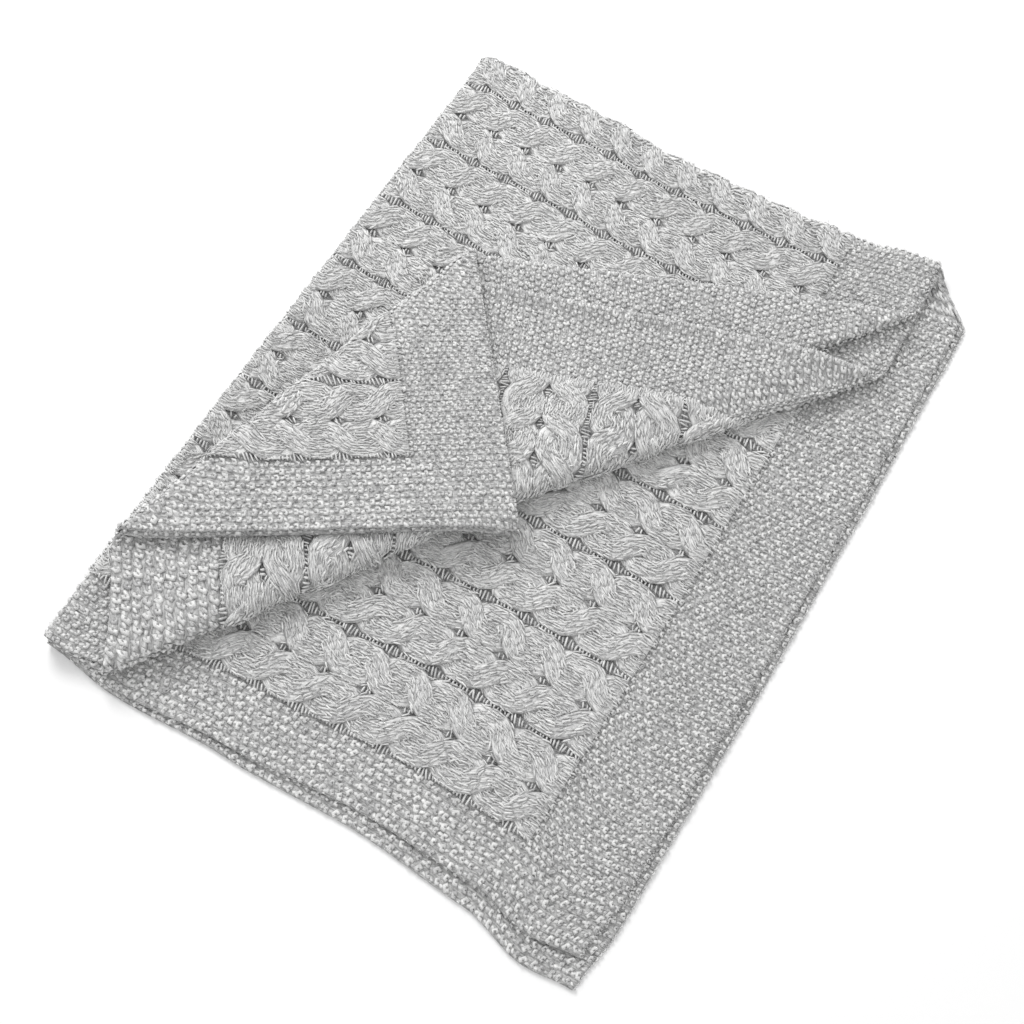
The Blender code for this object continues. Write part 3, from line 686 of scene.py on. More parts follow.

# %% [markdown]
# ## The ground of the sheet
#
# Behind the ropes and stitches lies a plain sheet of knit, a little thinner than the solid's 4 mm. It closes
# the gaps between stitches. Its greys are painted shade: darker than the yarn, as the gaps between stitches
# lie in shade, and darkest over the field, so that it shows dark between the rungs of the gutters. A grid
# over the flat sheet is made finer where the sheet bends or shows, and each side of it is carried through
# the folds; a rim joins the two sides.

# %% Cells over the flat sheet
BORDER_STEPS = 40
NARROW_STEPS = 24
STEPS_A_CROSSING = 20
STEPS_A_REPEAT = 40
BIG_CELL = 8
GROUND_SINK = 0.0006
BEND_REACH = 0.030
EDGE_STRIP = 0.012
FINE_FOLD = 1.1
# Painted shade on the ground over the field and over the border, and the width of the change between: darker
# over the field, where the ground shows in the gutters
GUTTER_PAINTED_SHADE = 0.10
BORDER_PAINTED_SHADE = 0.55
PAINTED_SHADE_STEP = 0.006
CLIMB_REACH = 0.060


def grid_lines(marks, steps):
    """Lines of a grid between marks, with so many even steps from each mark to the next."""
    lines = [
        np.linspace(low, high, count, endpoint=False)
        for low, high, count in zip(marks, marks[1:], steps)
    ]
    return np.append(np.concatenate(lines), marks[-1])


all_rows = grid_lines(
    (-HALF_ALONG, -FIELD_ALONG, FIELD_ALONG, HALF_ALONG),
    (BORDER_STEPS, CROSSINGS * STEPS_A_CROSSING, BORDER_STEPS),
)
all_columns = grid_lines(
    (KNIT_LOW, FIELD_LOW, FIELD_HIGH, KNIT_HIGH),
    (NARROW_STEPS, REPEATS * STEPS_A_REPEAT, BORDER_STEPS),
)
row_count = len(all_rows) - 1
column_count = len(all_columns) - 1


def needed_cell(s, knit, side):
    """The largest cell, in grid steps, that still follows the folds at a point."""
    laid = lay_out(s, knit)
    size = np.where(seen(s, knit, side), BIG_CELL // 2, BIG_CELL)
    past_turn = laid["past_turn"]
    past_tip = laid["past_tip"]
    spread = laid["spread"]
    near_turn = (past_turn > -BEND_REACH) & (past_turn < TURN_BACK_ARC + BEND_REACH)
    near_tip = (past_tip > -BEND_REACH) & (past_tip < TIP_ARC + BEND_REACH)
    climb = laid["turned"] & (spread > LONE_SPREAD / 2) & (past_turn < spread + CLIMB_REACH)
    droop = beside(laid["tip"], TURN_START_LOWER, TURN_END_LOWER) > -BEND_REACH
    size[near_turn | near_tip | climb | (droop & (past_tip > TIP_ARC))] = 2
    from_edge = np.minimum(HALF_ALONG - np.abs(s), np.minimum(knit - KNIT_LOW, KNIT_HIGH - knit))
    size[from_edge < EDGE_STRIP] = 2
    size[np.abs(s) < FINE_FOLD * FIRST_FOLD_HALF_ARC] = 1
    size[np.abs(laid["t"]) < FINE_FOLD * SECOND_FOLD_HALF_ARC] = 1
    return size


print("grid", row_count, "by", column_count, "steps of about 2.5 mm")

# %% The two sides and the rim
def side_cells(side):
    """Cells (row, column, size) that follow the folds and stay as large as they may."""
    s, t = (axis.ravel() for axis in np.meshgrid(all_rows, all_columns, indexing="ij"))
    need = needed_cell(s, t, side).reshape(row_count + 1, column_count + 1)
    cells = []
    waiting = [
        (row, column, BIG_CELL)
        for row in range(0, row_count, BIG_CELL)
        for column in range(0, column_count, BIG_CELL)
    ]
    while waiting:
        row, column, size = waiting.pop()
        if need[row:row + size + 1, column:column + size + 1].min() >= size:
            cells.append((row, column, size))
            continue
        half = size // 2
        waiting += [(row + down, column + on, half) for down in (0, half) for on in (0, half)]
    return cells


def cell_faces(cells):
    """Grid points and faces: each cell takes in the finer corners on its edges, so no gap opens."""
    corners = set()
    for row, column, size in cells:
        corners.update((row + down, column + on) for down in (0, size) for on in (0, size))
    points = {}
    faces = []
    for row, column, size in cells:
        ring = [(row + step, column) for step in range(size)]
        ring += [(row + size, column + step) for step in range(size)]
        ring += [(row + size - step, column + size) for step in range(size)]
        ring += [(row, column + size - step) for step in range(size)]
        ring = [points.setdefault(corner, len(points)) for corner in ring if corner in corners]
        if len(ring) == 4:
            faces += [(ring[0], ring[1], ring[2]), (ring[0], ring[2], ring[3])]
        else:
            middle = points.setdefault((row + size / 2, column + size / 2), len(points))
            faces += [(start, end, middle) for start, end in zip(ring, ring[1:] + ring[:1])]
    return points, faces


def flat_places(points):
    """Places on the flat sheet of points given as grid row and column."""
    rows = np.array([key[0] for key in points], dtype=float)
    columns = np.array([key[1] for key in points], dtype=float)
    s = np.interp(rows, np.arange(row_count + 1), all_rows)
    return s, np.interp(columns, np.arange(column_count + 1), all_columns)


right_points, right_faces = cell_faces(side_cells(1))
wrong_points, wrong_faces = cell_faces(side_cells(-1))
right_s, right_t = flat_places(right_points)
wrong_s, wrong_t = flat_places(wrong_points)
ground_points = np.vstack((
    place(right_s, right_t, np.full(len(right_s), HALF_KNIT - GROUND_SINK)),
    place(wrong_s, wrong_t, np.full(len(wrong_s), GROUND_SINK - HALF_KNIT)),
))
below = len(right_points)
ground_faces = list(right_faces) + [tuple(below + corner for corner in face[::-1]) for face in wrong_faces]
edges = set()
for face in right_faces:
    edges.update(zip(face, face[1:] + face[:1]))
under_of = {number: below + wrong_points[key] for key, number in right_points.items() if key in wrong_points}
for first, last in sorted(edge for edge in edges if edge[::-1] not in edges):
    ground_faces.append((last, first, under_of[first]))
    ground_faces.append((last, under_of[first], under_of[last]))
print("ground triangles", len(ground_faces))


# %% Make a mesh object of folded points
def smooth_mesh(name, points, faces, values):
    """A smooth mesh with the named numbers of each point as attributes."""
    mesh = bpy.data.meshes.new(name)
    mesh.from_pydata([tuple(point) for point in points], [], faces)
    for label, numbers in values.items():
        data = mesh.attributes.new(label, "FLOAT", "POINT").data
        data.foreach_set("value", np.asarray(numbers, dtype=np.float32))
    mesh.polygons.foreach_set("use_smooth", np.ones(len(mesh.polygons), dtype=bool))
    return mesh


def piece_of(name, mesh):
    """A finished piece of the throw, at the origin."""
    piece = put_in_scene(name, mesh)
    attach(piece, "root")
    return piece


ground_s = np.concatenate((right_s, wrong_s))
ground_t = np.concatenate((right_t, wrong_t))
# Painted shade on the ground: darker over the field, lighter over the border, changing over a few millimetres
# at the field's edge
into_border = np.maximum(FIELD_LOW - ground_t, ground_t - FIELD_HIGH)
into_border = np.maximum(np.abs(ground_s) - FIELD_ALONG, into_border)
ground_values = {
    "lengthwise": 1000 * ground_s,
    "around": 1000 * ground_t,
    "shade": mix(GUTTER_PAINTED_SHADE, BORDER_PAINTED_SHADE, smooth(into_border / PAINTED_SHADE_STEP + 0.5)),
}
ground_mesh = smooth_mesh("knit_ground", ground_points, ground_faces, ground_values)
ground_mesh.materials.append(ground_in_painted_shade)
ground = piece_of("knit_ground", ground_mesh)
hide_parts("knit_throw")

# %% [markdown]
# ## The ropes
#
# Each rope has two strands of four stitch columns. At every crossing the strand beside the gutter is lifted
# over the other one to the middle line, so the ropes of a pair mirror each other and their crossings make a
# row of V shapes. On the needles that is a cable stitch. Here a strand's middle line is a formula, and a
# flattened tube swept along it gives the strand its full, padded form.

# %% Path of a strand
# Half the narrowest gap between two ropes, at a ladder and at a pair's middle line: below 0, they overlap
LADDER_HALF = 0.0006
CENTRE_HALF = -0.0016
ROPE_WIDTH = REPEAT / 2 - LADDER_HALF - CENTRE_HALF
STRAND_HALF = 0.27 * ROPE_WIDTH
CENTRE_PULL = 0.0008
STRAND_DOME = 0.0036
STRAND_REST = 0.0010
CROSS_LIFT = 0.0021
CROSS_DIP = 0.0020
OPENING_STEPS = 801
SWING_START = 0.19
SWING_LENGTH = 0.62
SLOPE_STEP = 0.0005
# At the border ropes reach a little in, and fall over a short length to this share of their height
FIELD_OVERRUN = 0.004
FIELD_FADE = 0.014
END_SCALE = 0.35
# Room left over pressed ropes for the legs of yarn on them
PRESSED_SPARE = 0.0004


def strand_path(s, parity):
    """Distance from the gutter, height over the ground, and slope of a strand's middle line."""
    def across(s):
        beat = (s / PITCH + parity) % 2.0
        swing = smooth((beat % 1.0 - SWING_START) / SWING_LENGTH)
        swung = (ROPE_WIDTH - 2 * STRAND_HALF) * np.where(beat < 1.0, swing, 1.0 - swing)
        return STRAND_HALF + swung + CENTRE_PULL * np.sin(math.pi * (beat % 1.0)) ** 2

    beat = (s / PITCH + parity) % 2.0
    wave = np.sin(math.pi * (beat % 1.0))
    height = STRAND_REST + np.where(beat < 1.0, CROSS_LIFT, -CROSS_DIP) * wave
    slope = (across(s + SLOPE_STEP) - across(s - SLOPE_STEP)) / (2 * SLOPE_STEP)
    return across(s), height, slope


def strand_top(s, from_gutter, parity):
    """Height of a strand's surface, or a very low number beside it."""
    across, height, slope = strand_path(s, parity)
    beside_it = (from_gutter - across) / np.sqrt(1 + slope ** 2)
    inside = np.clip(1 - (beside_it / STRAND_HALF) ** 2, 0.0, 1.0)
    return np.where(inside > 0, height + STRAND_DOME * np.sqrt(inside), -1.0)


def opening(s, at_centre):
    """Half the width of the gap between two ropes, at their ladder or at their middle line."""
    beats = np.linspace(-2 * PITCH, 2 * PITCH, OPENING_STEPS)
    within = s % PITCH + PITCH * (s // PITCH % 2)
    toward = 1 if at_centre else -1
    edges = []
    for parity in (0, 1):
        across, _, slope = strand_path(beats, parity)
        stretch = np.sqrt(1 + slope ** 2)
        edge_s = beats - toward * STRAND_HALF * slope / stretch
        edge = across + toward * STRAND_HALF / stretch
        order = np.argsort(edge_s)
        edge = np.interp(within, edge_s[order], edge[order])
        edges.append(ROPE_WIDTH - edge if at_centre else edge)
    gap = np.maximum(np.minimum(*edges), 0.0)
    return gap + (CENTRE_HALF if at_centre else LADDER_HALF)


def rope_scale(s, knit):
    """Ropes lie flatter where a layer presses them and at the border."""
    shown = shown_share(lay_out(s, knit))
    top = STRAND_REST + STRAND_DOME + CROSS_LIFT
    pressed = (ROPE_LIFT_PRESSED - PRESSED_SPARE) / top
    fade = smooth((FIELD_ALONG + FIELD_OVERRUN - np.abs(s)) / FIELD_FADE)
    return mix(pressed, 1.0, shown) * (END_SCALE + (1 - END_SCALE) * fade)


ropes = [
    (FIELD_LOW + (repeat + 0.5) * REPEAT, half, parity)
    for repeat in range(REPEATS)
    for half in (-1, 1)
    for parity in (0, 1)
]
for at_centre, gap_name in ((False, "ladder"), (True, "pair's middle line")):
    half_gap = float(opening(np.array([PITCH / 2]), at_centre)[0])
    print(len(ropes), "strands; the gap at a", gap_name, "opens to", round(2000 * half_gap, 1), "mm")

# %% Sweep the strands
# Columns: share of the half width, share of the dome's height
SECTION = ((1.0, 0.0), (0.76, 0.65), (0.28, 0.96), (-0.28, 0.96), (-0.76, 0.65), (-1.0, 0.0), (0.0, -0.5))
BODY_STEP = PITCH / 9
BODY_INSET = 0.0009
# Steps of this share give strands that lie side by side shades far apart
GOLDEN = 0.618

body_s = np.linspace(-FIELD_ALONG, FIELD_ALONG, round(2 * FIELD_ALONG / BODY_STEP) + 1)
section = np.array(SECTION)
ring = len(SECTION)
strand_flat = []
strand_faces = []
strand_count = 0
for number, (centre, half, parity) in enumerate(ropes):
    across, height, slope = strand_path(body_s, parity)
    middle = centre + half * (REPEAT / 2 - LADDER_HALF - across)
    shows = seen(body_s, middle)
    starts = [i for i in range(len(body_s)) if shows[i] and (i == 0 or not shows[i - 1])]
    ends = [i for i in range(len(body_s)) if shows[i] and (i == len(body_s) - 1 or not shows[i + 1])]
    heading = np.arctan(-half * slope)
    scale = rope_scale(body_s, middle)
    for start, end in zip(starts, ends):
        if end - start < 2:
            continue
        first = strand_count
        for i in range(start, end + 1):
            sideways = section[:, 0] * (STRAND_HALF - BODY_INSET)
            offset = HALF_KNIT + (height[i] + section[:, 1] * (STRAND_DOME - BODY_INSET)) * scale[i]
            ring_s = body_s[i] - sideways * math.sin(heading[i])
            ring_t = middle[i] + sideways * math.cos(heading[i])
            strand_flat.append(np.column_stack((
                ring_s, ring_t, offset, np.full(ring, 1000 * body_s[i]), 1000 * sideways,
                np.full(ring, number * GOLDEN % 1.0),
            )))
        rings = end - start + 1
        for i in range(rings - 1):
            for j in range(ring):
                here = first + i * ring
                after = (j + 1) % ring
                strand_faces.append((here + j, here + ring + j, here + ring + after, here + after))
        strand_faces.append(tuple(first + j for j in range(ring)))
        strand_faces.append(tuple(first + (rings - 1) * ring + j for j in reversed(range(ring))))
        strand_count += rings * ring
strand_flat = np.vstack(strand_flat)
strand_values = dict(zip(("lengthwise", "around", "shade"), strand_flat.T[3:]))
strand_mesh = smooth_mesh("rope_strands", place(*strand_flat.T[:3]), strand_faces, strand_values)
strand_mesh.materials.append(rope_yarn)
strands = piece_of("rope_strands", strand_mesh)
print("strand triangles", sum(len(face) - 2 for face in strand_faces))

# %% [markdown]
# ## The stitches
#
# A knit stitch shows as a small V of two yarn legs. One leg is a closed, bowed spindle of yarn with few
# faces, because there are thousands. Geometry Nodes set one at each place of a list, turned and sized by the
# numbers stored with the place, and give each a shade of its own. This happens on the flat sheet; then every
# point of every stitch goes through the same folds as the ground.

# %% The node tree that knits
SEED = 7
TREE_INPUTS = (
    ("Places", "Geometry"), ("Stitch", "Object"), ("Yarn", "Material"), ("Unevenness", "Float"),
    ("Seed", "Int"),
)


def knitting_tree():
    """Instances a stitch on each point, with its own turn, size and shade, and makes them real."""
    tree = bpy.data.node_groups.new("knit_stitches", "GeometryNodeTree")
    for label, kind in TREE_INPUTS:
        tree.interface.new_socket(label, in_out="INPUT", socket_type="NodeSocket" + kind)
    tree.interface.new_socket("Knitting", in_out="OUTPUT", socket_type="NodeSocketGeometry")
    entry = add_node(tree, "NodeGroupInput").outputs

    def named(label):
        inputs = {"Name": label}
        node = add_node(tree, "GeometryNodeInputNamedAttribute", inputs, data_type="FLOAT_VECTOR")
        return node.outputs["Attribute"]

    def random_number():
        node = add_node(tree, "FunctionNodeRandomValue", {"Seed": entry["Seed"]}, data_type="FLOAT")
        limits = [socket for socket in node.inputs if socket.type == "VALUE" and socket.enabled]
        return limits, [socket for socket in node.outputs if socket.enabled][0]

    limits, factor = random_number()
    for operation, limit in zip(("SUBTRACT", "ADD"), limits):
        inputs = {0: 1.0, 1: entry["Unevenness"]}
        tree.links.new(add_node(tree, "ShaderNodeMath", inputs, operation=operation).outputs[0], limit)
    inputs = {0: named("size"), "Scale": factor}
    sized = add_node(tree, "ShaderNodeVectorMath", inputs, operation="SCALE")
    stitch = add_node(tree, "GeometryNodeObjectInfo", {"Object": entry["Stitch"]})
    turned = add_node(tree, "FunctionNodeEulerToRotation", {"Euler": named("turn")})
    on_points = add_node(tree, "GeometryNodeInstanceOnPoints", {
        "Points": entry["Places"], "Instance": stitch.outputs["Geometry"],
        "Rotation": turned.outputs["Rotation"], "Scale": sized.outputs["Vector"],
    })
    inputs = {"Geometry": on_points.outputs["Instances"], "Name": "shade", "Value": random_number()[1]}
    store = add_node(
        tree, "GeometryNodeStoreNamedAttribute", inputs, data_type="FLOAT", domain="INSTANCE",
    )
    real = add_node(tree, "GeometryNodeRealizeInstances", {"Geometry": store.outputs["Geometry"]})
    inputs = {"Geometry": real.outputs["Geometry"], "Material": entry["Yarn"]}
    paint = add_node(tree, "GeometryNodeSetMaterial", inputs)
    add_node(tree, "NodeGroupOutput", {"Knitting": paint.outputs["Geometry"]})
    return tree


tree = knitting_tree()
socket_of = {
    item.name: item.identifier for item in tree.interface.items_tree if item.item_type == "SOCKET"
}
print("tree inputs", sorted(socket_of))


# %% One leg of yarn, one bump and one rung
def spindle(name, stations, ring):
    """A closed spindle along a path. Columns of stations: x, y, z, half width, half height."""
    path = np.array([row[:3] for row in stations])
    ahead = np.gradient(path[:, :2], axis=0)
    ahead = ahead / np.linalg.norm(ahead, axis=1)[:, None]
    run = np.append(0.0, np.cumsum(np.linalg.norm(np.diff(path, axis=0), axis=1)))
    points = []
    faces = []
    lengthwise = []
    around = []
    count = len(ring)
    for i in range(1, len(stations) - 1):
        half_width, half_height = stations[i][3:]
        for side, up in ring:
            aside = side * half_width
            points.append(path[i] + np.array((-ahead[i, 1] * aside, ahead[i, 0] * aside, up * half_height)))
            lengthwise.append(1000 * run[i])
            around.append(side + up)
    first = len(points)
    points += [path[0], path[-1]]
    lengthwise += [0.0, 1000 * run[-1]]
    around += [0.0, 0.0]
    for station in range(len(stations) - 3):
        for j in range(count):
            here = station * count
            after = (j + 1) % count
            faces.append((here + j, here + count + j, here + count + after, here + after))
    last = (len(stations) - 3) * count
    for j in range(count):
        after = (j + 1) % count
        faces.append((first, j, after))
        faces.append((first + 1, last + after, last + j))
    return put_in_scene(name, smooth_mesh(name, points, faces, {"lengthwise": lengthwise, "around": around}))


# A section whose ridge is on top and whose flat side lies in the cloth
ROOF = ((-1.0, -0.45), (1.0, -0.45), (0.0, 1.0))
# Columns: degrees round a purl bump's arch, half width, half height
ARCH = (
    (285, 0.0, 0.0), (205, 0.0017, 0.0015), (130, 0.0020, 0.0019), (50, 0.0020, 0.0019),
    (-25, 0.0017, 0.0015), (-105, 0.0, 0.0),
)
ARCH_RADIUS = 0.0018
ARCH_HEIGHT = 0.0006
ARCH_ENDS = -0.0008
RUNG_HALF = 0.0050
leg = spindle("yarn_leg", (
    (-0.0062, -0.0004, -0.0010, 0.0, 0.0),
    (-0.0024, 0.0002, 0.0003, 0.00110, 0.00085),
    (0.0026, 0.0003, 0.0004, 0.00100, 0.00085),
    (0.0062, -0.0003, -0.0010, 0.0, 0.0),
), ROOF)
hair = spindle("stray_hair", (
    (-0.0058, 0.0006, -0.0014, 0.0, 0.0),
    (0.0002, -0.0005, 0.0004, 0.00036, 0.00034),
    (0.0058, 0.0007, -0.0014, 0.0, 0.0),
), ROOF)
bump_stitch = spindle("purl_bump", [
    (
        ARCH_RADIUS * math.cos(math.radians(degrees)),
        ARCH_RADIUS * math.sin(math.radians(degrees)),
        ARCH_HEIGHT if half_width else ARCH_ENDS,
        half_width,
        half_height,
    )
    for degrees, half_width, half_height in ARCH
], ROOF)
rung = spindle("ladder_rung", (
    (-RUNG_HALF, 0.0, -0.0004, 0.0, 0.0),
    (-0.0026, 0.0, 0.0010, 0.0011, 0.0010),
    (0.0026, 0.0, 0.0010, 0.0011, 0.0010),
    (RUNG_HALF, 0.0, -0.0004, 0.0, 0.0),
), ROOF)


def knit(name, places, turns, sizes, template, material, unevenness):
    """Knits one piece: stitches on flat places, made real, then folded with the sheet."""
    mesh = bpy.data.meshes.new(name)
    mesh.from_pydata([tuple(point) for point in places], [], [])
    for label, numbers in (("turn", turns), ("size", sizes)):
        data = mesh.attributes.new(label, "FLOAT_VECTOR", "POINT").data
        data.foreach_set("vector", np.asarray(numbers, dtype=np.float32).ravel())
    carrier = put_in_scene(name + "_places", mesh)
    modifier = carrier.modifiers.new("knitting", "NODES")
    modifier.node_group = tree
    values = {"Stitch": template, "Yarn": material, "Unevenness": unevenness, "Seed": SEED}
    for label, value in values.items():
        modifier[socket_of[label]] = value
    graph = bpy.context.evaluated_depsgraph_get()
    knitted = bpy.data.meshes.new_from_object(carrier.evaluated_get(graph))
    bpy.data.objects.remove(carrier)
    flat = np.empty(len(knitted.vertices) * 3, dtype=np.float32)
    knitted.vertices.foreach_get("co", flat)
    flat = flat.reshape(-1, 3).astype(float)
    folded = place(flat[:, 0], flat[:, 1], flat[:, 2])
    knitted.vertices.foreach_set("co", folded.astype(np.float32).ravel())
    knitted.update()
    knitted.name = name
    triangles = sum(len(polygon.vertices) - 2 for polygon in knitted.polygons)
    print(name, len(places), "stitches", triangles, "triangles")
    return piece_of(name, knitted)


# %% [markdown]
# ### Stitches of the ropes
#
# Four columns of stitches run along each strand. Every stitch is a pair of legs that lean apart a little.
# They follow the strand's path and its rounded section, and those that lie under the other strand are left
# out.

# %% Places of the rope stitches
ROW = PITCH / 8
COLUMNS = (-1.5, -0.5, 0.5, 1.5)
COLUMNS_A_STRAND = 4.25
LEG_LEAN = 0.16
LEG_SPREAD = 0.26
HIDDEN_BY = 0.0006
STEEPEST = 0.04
LEG_UNEVENNESS = 0.20
# How far legs stray from their rows: metres along, across and up, and radians
STRAY = (0.0016, 0.0006, 0.0003, 0.17)
random = np.random.default_rng(SEED)

row_s = np.arange(-FIELD_ALONG + ROW / 2, FIELD_ALONG, ROW)
leg_rows = []
for centre, half, parity in ropes:
    across, height, slope = strand_path(row_s, parity)
    heading = np.arctan(-half * slope)
    rise = np.gradient(height, row_s)
    for column in COLUMNS:
        for side in (-1, 1):
            stray = [random.normal(0.0, amount, len(row_s)) for amount in STRAY]
            share = (column + side * LEG_SPREAD) * 2 / COLUMNS_A_STRAND
            lateral = share * STRAND_HALF + stray[1]
            s = row_s - lateral * np.sin(heading) + stray[0]
            t = centre + half * (REPEAT / 2 - LADDER_HALF - across) + lateral * np.cos(heading)
            inside = math.sqrt(max(1 - share ** 2, STEEPEST))
            top = height + STRAND_DOME * inside
            roll = math.atan(STRAND_DOME * share / (STRAND_HALF * inside))
            from_gutter = REPEAT / 2 - LADDER_HALF - (t - centre) * half
            other = strand_top(s, from_gutter, 1 - parity)
            keep = seen(s, t) & (other < top + HIDDEN_BY) & (np.abs(s) < FIELD_ALONG)
            scale = rope_scale(s, t)
            rows = np.column_stack((
                s, t, HALF_KNIT + top * scale + stray[2],
                -roll * scale, -np.arctan(rise * scale), heading + side * LEG_LEAN + stray[3],
            ))
            leg_rows.append(rows[keep])
legs = np.vstack(leg_rows)
print("rope legs", len(legs))

# %% Knit the ropes
regions = {
    "rope_stitches_lower": legs[:, 1] < 0,
    "rope_stitches_flap": (legs[:, 1] >= 0) & (legs[:, 0] >= 0),
    "rope_stitches_top": (legs[:, 1] >= 0) & (legs[:, 0] < 0),
}
for name, chosen in regions.items():
    rows = legs[chosen]
    sizes = np.ones((len(rows), 3))
    knit(name, rows[:, :3], rows[:, 3:6], sizes, leg, yarn, LEG_UNEVENNESS)

# %% [markdown]
# ### The seed-stitch border
#
# In seed stitch each stitch shows its back where its neighbours show their front, so small round bumps stand
# in a chequered order on both faces, with a sunken leg of yarn between them. The bumps are wider than they
# are long, and no two are quite alike.

# %% Places of the seed stitches
END_ROWS = 23
SIDE_ROWS = 9
END_COLUMNS = 14
LOW_COLUMNS = 7
HIGH_COLUMNS = 10
SEED_HEIGHT = 0.0004
SEED_KNIT_SUNK = 0.0013
# Stitch spacings at which bumps and legs keep the size they were made in: along and across each
BUMP_LENGTH = 0.0063
BUMP_WIDTH = 0.0047
SEED_LEG_LENGTH = 0.0075
SEED_LEG_WIDTH = 0.0040
# How far bumps stray: metres along, across and up, radians of tilt and of turn
SEED_STRAY = (0.0005, 0.0006, 0.00025, 0.14, 0.35)
SEED_UNDER_ROPES = 0.003
SEED_UNEVENNESS = 0.16

seed_rows = grid_lines(
    (-HALF_ALONG, -FIELD_ALONG, FIELD_ALONG, HALF_ALONG), (END_ROWS, CROSSINGS * SIDE_ROWS, END_ROWS))
seed_columns = grid_lines(
    (KNIT_LOW, FIELD_LOW, FIELD_HIGH, KNIT_HIGH), (LOW_COLUMNS, REPEATS * END_COLUMNS, HIGH_COLUMNS))
row_widths = np.diff(seed_rows)
column_widths = np.diff(seed_columns)
seed_rows = (seed_rows[:-1] + seed_rows[1:]) / 2
seed_columns = (seed_columns[:-1] + seed_columns[1:]) / 2


def seed_places(side, purl):
    """Rows of place, turn and size for the stitches that show on one side: purl bumps or knit legs."""
    row, column = (axis.ravel() for axis in np.meshgrid(
        np.arange(len(seed_rows)), np.arange(len(seed_columns)), indexing="ij"))
    s = seed_rows[row]
    t = seed_columns[column]
    in_border = (np.abs(s) > FIELD_ALONG - SEED_UNDER_ROPES) | (t < FIELD_LOW + SEED_UNDER_ROPES)
    in_border |= t > FIELD_HIGH - SEED_UNDER_ROPES
    keep = ((row + column) % 2 == (0 if (side > 0) == purl else 1)) & in_border & seen(s, t, side)
    wide = column_widths[column][keep]
    deep = row_widths[row][keep]
    count = len(wide)
    stray = [random.normal(0.0, amount, count) for amount in SEED_STRAY]
    height = HALF_KNIT + SEED_HEIGHT - (0.0 if purl else SEED_KNIT_SUNK)
    offset = side * (height + stray[2])
    turns = np.column_stack((
        (0.0 if side > 0 else math.pi) + stray[3],
        stray[3][::-1],
        stray[4] + (math.pi / 2 if purl else 0.0),
    ))
    if purl:
        sizes = np.column_stack((wide / BUMP_LENGTH, deep / BUMP_WIDTH, np.ones(count)))
    else:
        sizes = np.column_stack((deep / SEED_LEG_LENGTH, wide / SEED_LEG_WIDTH, np.ones(count)))
    return np.column_stack((s[keep] + stray[0], t[keep] + stray[1], offset)), turns, sizes


# %% Knit the border
for side, label in ((1, "right"), (-1, "wrong")):
    for purl, kind, template in ((True, "purls", bump_stitch), (False, "knits", leg)):
        rows = seed_places(side, purl)
        if side > 0 and purl:
            seed_right = rows
        knit(f"seed_{kind}_{label}_side", *rows, template, yarn, SEED_UNEVENNESS)

# %% [markdown]
# ### The ladders
#
# Between the pairs of ropes runs a gutter of purl stitches. Pulled wide by the ropes, its threads lie across
# the gutter like the rungs of a ladder, with dark gaps between them.

# %% Knit the ladders
RUNG_PITCH = PITCH / 12
RUNG_SLANT = 0.20
RUNG_TUCK = 0.0022
RUNG_LIFT = 0.0015
RUNG_INSET = 0.003
SMALLEST_OPENING = 0.0002
# How far rungs stray: metres along, radians of roll, tilt and turn
RUNG_STRAY = (0.0004, 0.12, 0.12, 0.16)
RUNG_UNEVENNESS = 0.12

rung_s = np.arange(-FIELD_ALONG + RUNG_PITCH / 2, FIELD_ALONG, RUNG_PITCH)
rung_rows = []
for line in range(2 * REPEATS + 1):
    at_centre = line % 2 == 1
    stray = [random.normal(0.0, amount, len(rung_s)) for amount in RUNG_STRAY]
    s = rung_s + stray[0]
    line_t = np.clip(FIELD_LOW + line * REPEAT / 2, FIELD_LOW + RUNG_INSET, FIELD_HIGH - RUNG_INSET)
    t = np.full(len(s), line_t)
    gap = opening(s, at_centre)
    keep = seen(s, t) & (gap > SMALLEST_OPENING)
    rows = np.column_stack((
        s, t, np.full(len(s), HALF_KNIT + RUNG_LIFT),
        stray[1], stray[2], math.pi / 2 + RUNG_SLANT + stray[3],
        (gap + RUNG_TUCK) / RUNG_HALF, np.ones(len(s)), np.ones(len(s)),
    ))
    rung_rows.append(rows[keep])
rung_rows = np.vstack(rung_rows)
ladders = knit(
    "ladder_rungs", rung_rows[:, :3], rung_rows[:, 3:6], rung_rows[:, 6:], rung, yarn, RUNG_UNEVENNESS,
)

# %% [markdown]
# ### Stray hairs
#
# Alpaca is brushed after knitting, so fine hairs lie loosely over the stitches and soften their rows. Each
# hair is a long thin spindle that starts near a stitch of the ropes or of the border.

# %% Lay the hairs
HAIRS_A_LEG = 0.26
HAIRS_A_BUMP = 0.30
HAIR_HEIGHT = 0.0010
# How far hairs stray: metres along and across, radians from the stitch's own turn
HAIR_STRAY = (0.003, 0.002, 0.45)
HAIR_UNEVENNESS = 0.30

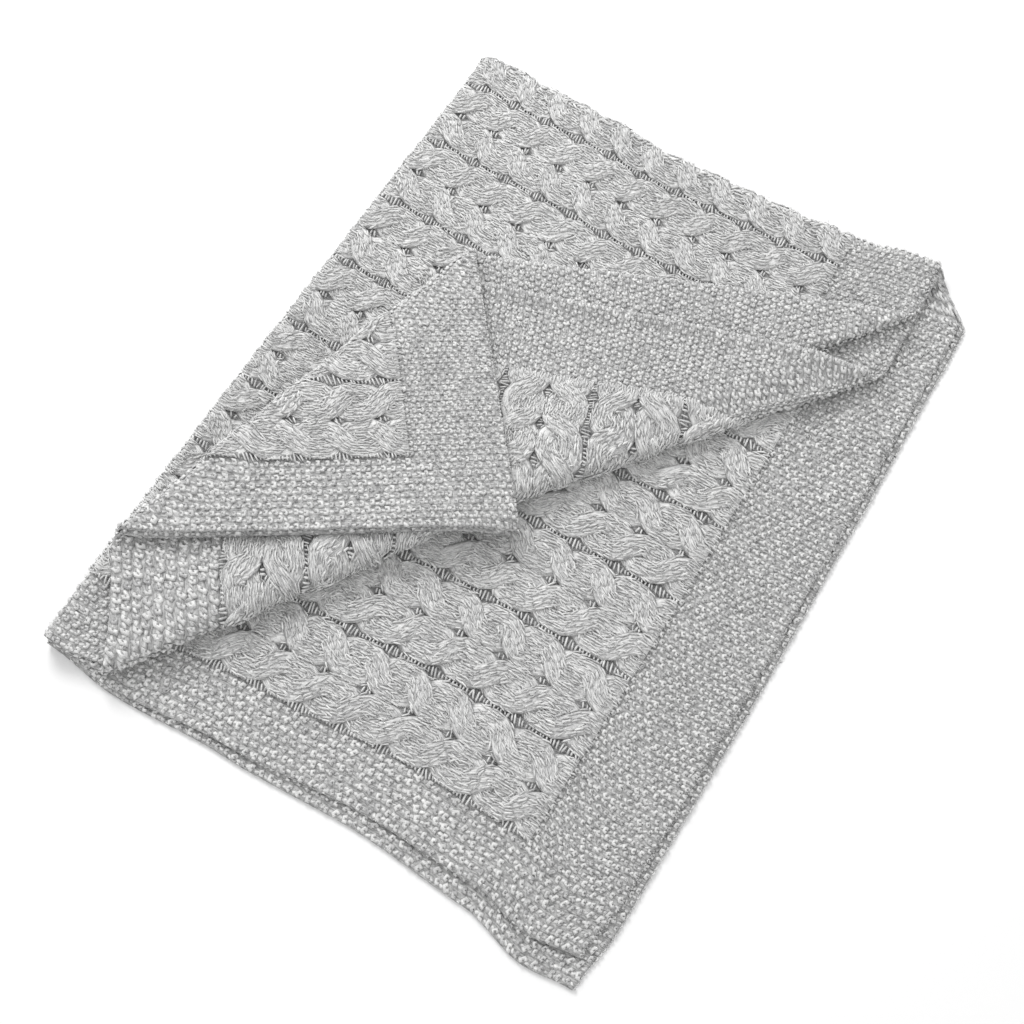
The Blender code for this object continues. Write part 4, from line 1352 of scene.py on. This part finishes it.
bumps = np.column_stack((seed_right[0], seed_right[1]))
hair_rows = np.vstack((
    legs[random.random(len(legs)) < HAIRS_A_LEG],
    bumps[random.random(len(bumps)) < HAIRS_A_BUMP],
))
count = len(hair_rows)
hair_rows[:, 2] += HAIR_HEIGHT
for column, amount in zip((0, 1, 5), HAIR_STRAY):
    hair_rows[:, column] += random.normal(0.0, amount, count)
hairs = knit(
    "stray_hairs", hair_rows[:, :3], hair_rows[:, 3:], np.ones((count, 3)), hair, yarn, HAIR_UNEVENNESS,
)

# %% [markdown]
# ### The edge
#
# A knitted edge isn't cut: the yarn turns there and goes back, which leaves a row of small loops. They give
# the outline of the throw its fine scallops.

# %% Loops along the edge
EDGE_PITCH = 0.0055
EDGE_OUT = 0.0004
EDGE_SIZE = (0.80, 0.72, 0.95)
EDGE_HEIGHT = -0.0006
# How far loops stray: radians of roll at most, radians of tilt and of turn, metres up
EDGE_STRAY = (0.5, 0.12, 0.25, 0.0003)

edge_s = np.arange(-HALF_ALONG + EDGE_PITCH / 2, HALF_ALONG, EDGE_PITCH)
edge_t = np.arange(KNIT_LOW + EDGE_PITCH / 2, KNIT_HIGH, EDGE_PITCH)
edge_rows = [
    (s, t, 0.0) for t in (KNIT_LOW - EDGE_OUT, KNIT_HIGH + EDGE_OUT) for s in edge_s
] + [
    (s, t, math.pi / 2) for s in (-HALF_ALONG - EDGE_OUT, HALF_ALONG + EDGE_OUT) for t in edge_t
]
edge_rows = np.array(edge_rows)
shows = seen(edge_rows[:, 0], edge_rows[:, 1]) | seen(edge_rows[:, 0], edge_rows[:, 1], -1)
edge_rows = edge_rows[shows]
count = len(edge_rows)
edge_turns = np.column_stack((
    random.uniform(-EDGE_STRAY[0], EDGE_STRAY[0], count),
    random.normal(0.0, EDGE_STRAY[1], count),
    edge_rows[:, 2] + random.normal(0.0, EDGE_STRAY[2], count),
))
edge_places = np.column_stack((edge_rows[:, :2], random.normal(EDGE_HEIGHT, EDGE_STRAY[3], count)))
edge_sizes = np.tile(EDGE_SIZE, (count, 1))
edge_loops = knit("edge_loops", edge_places, edge_turns, edge_sizes, bump_stitch, yarn, SEED_UNEVENNESS)

for template in (leg, hair, bump_stitch, rung):
    bpy.data.objects.remove(template)
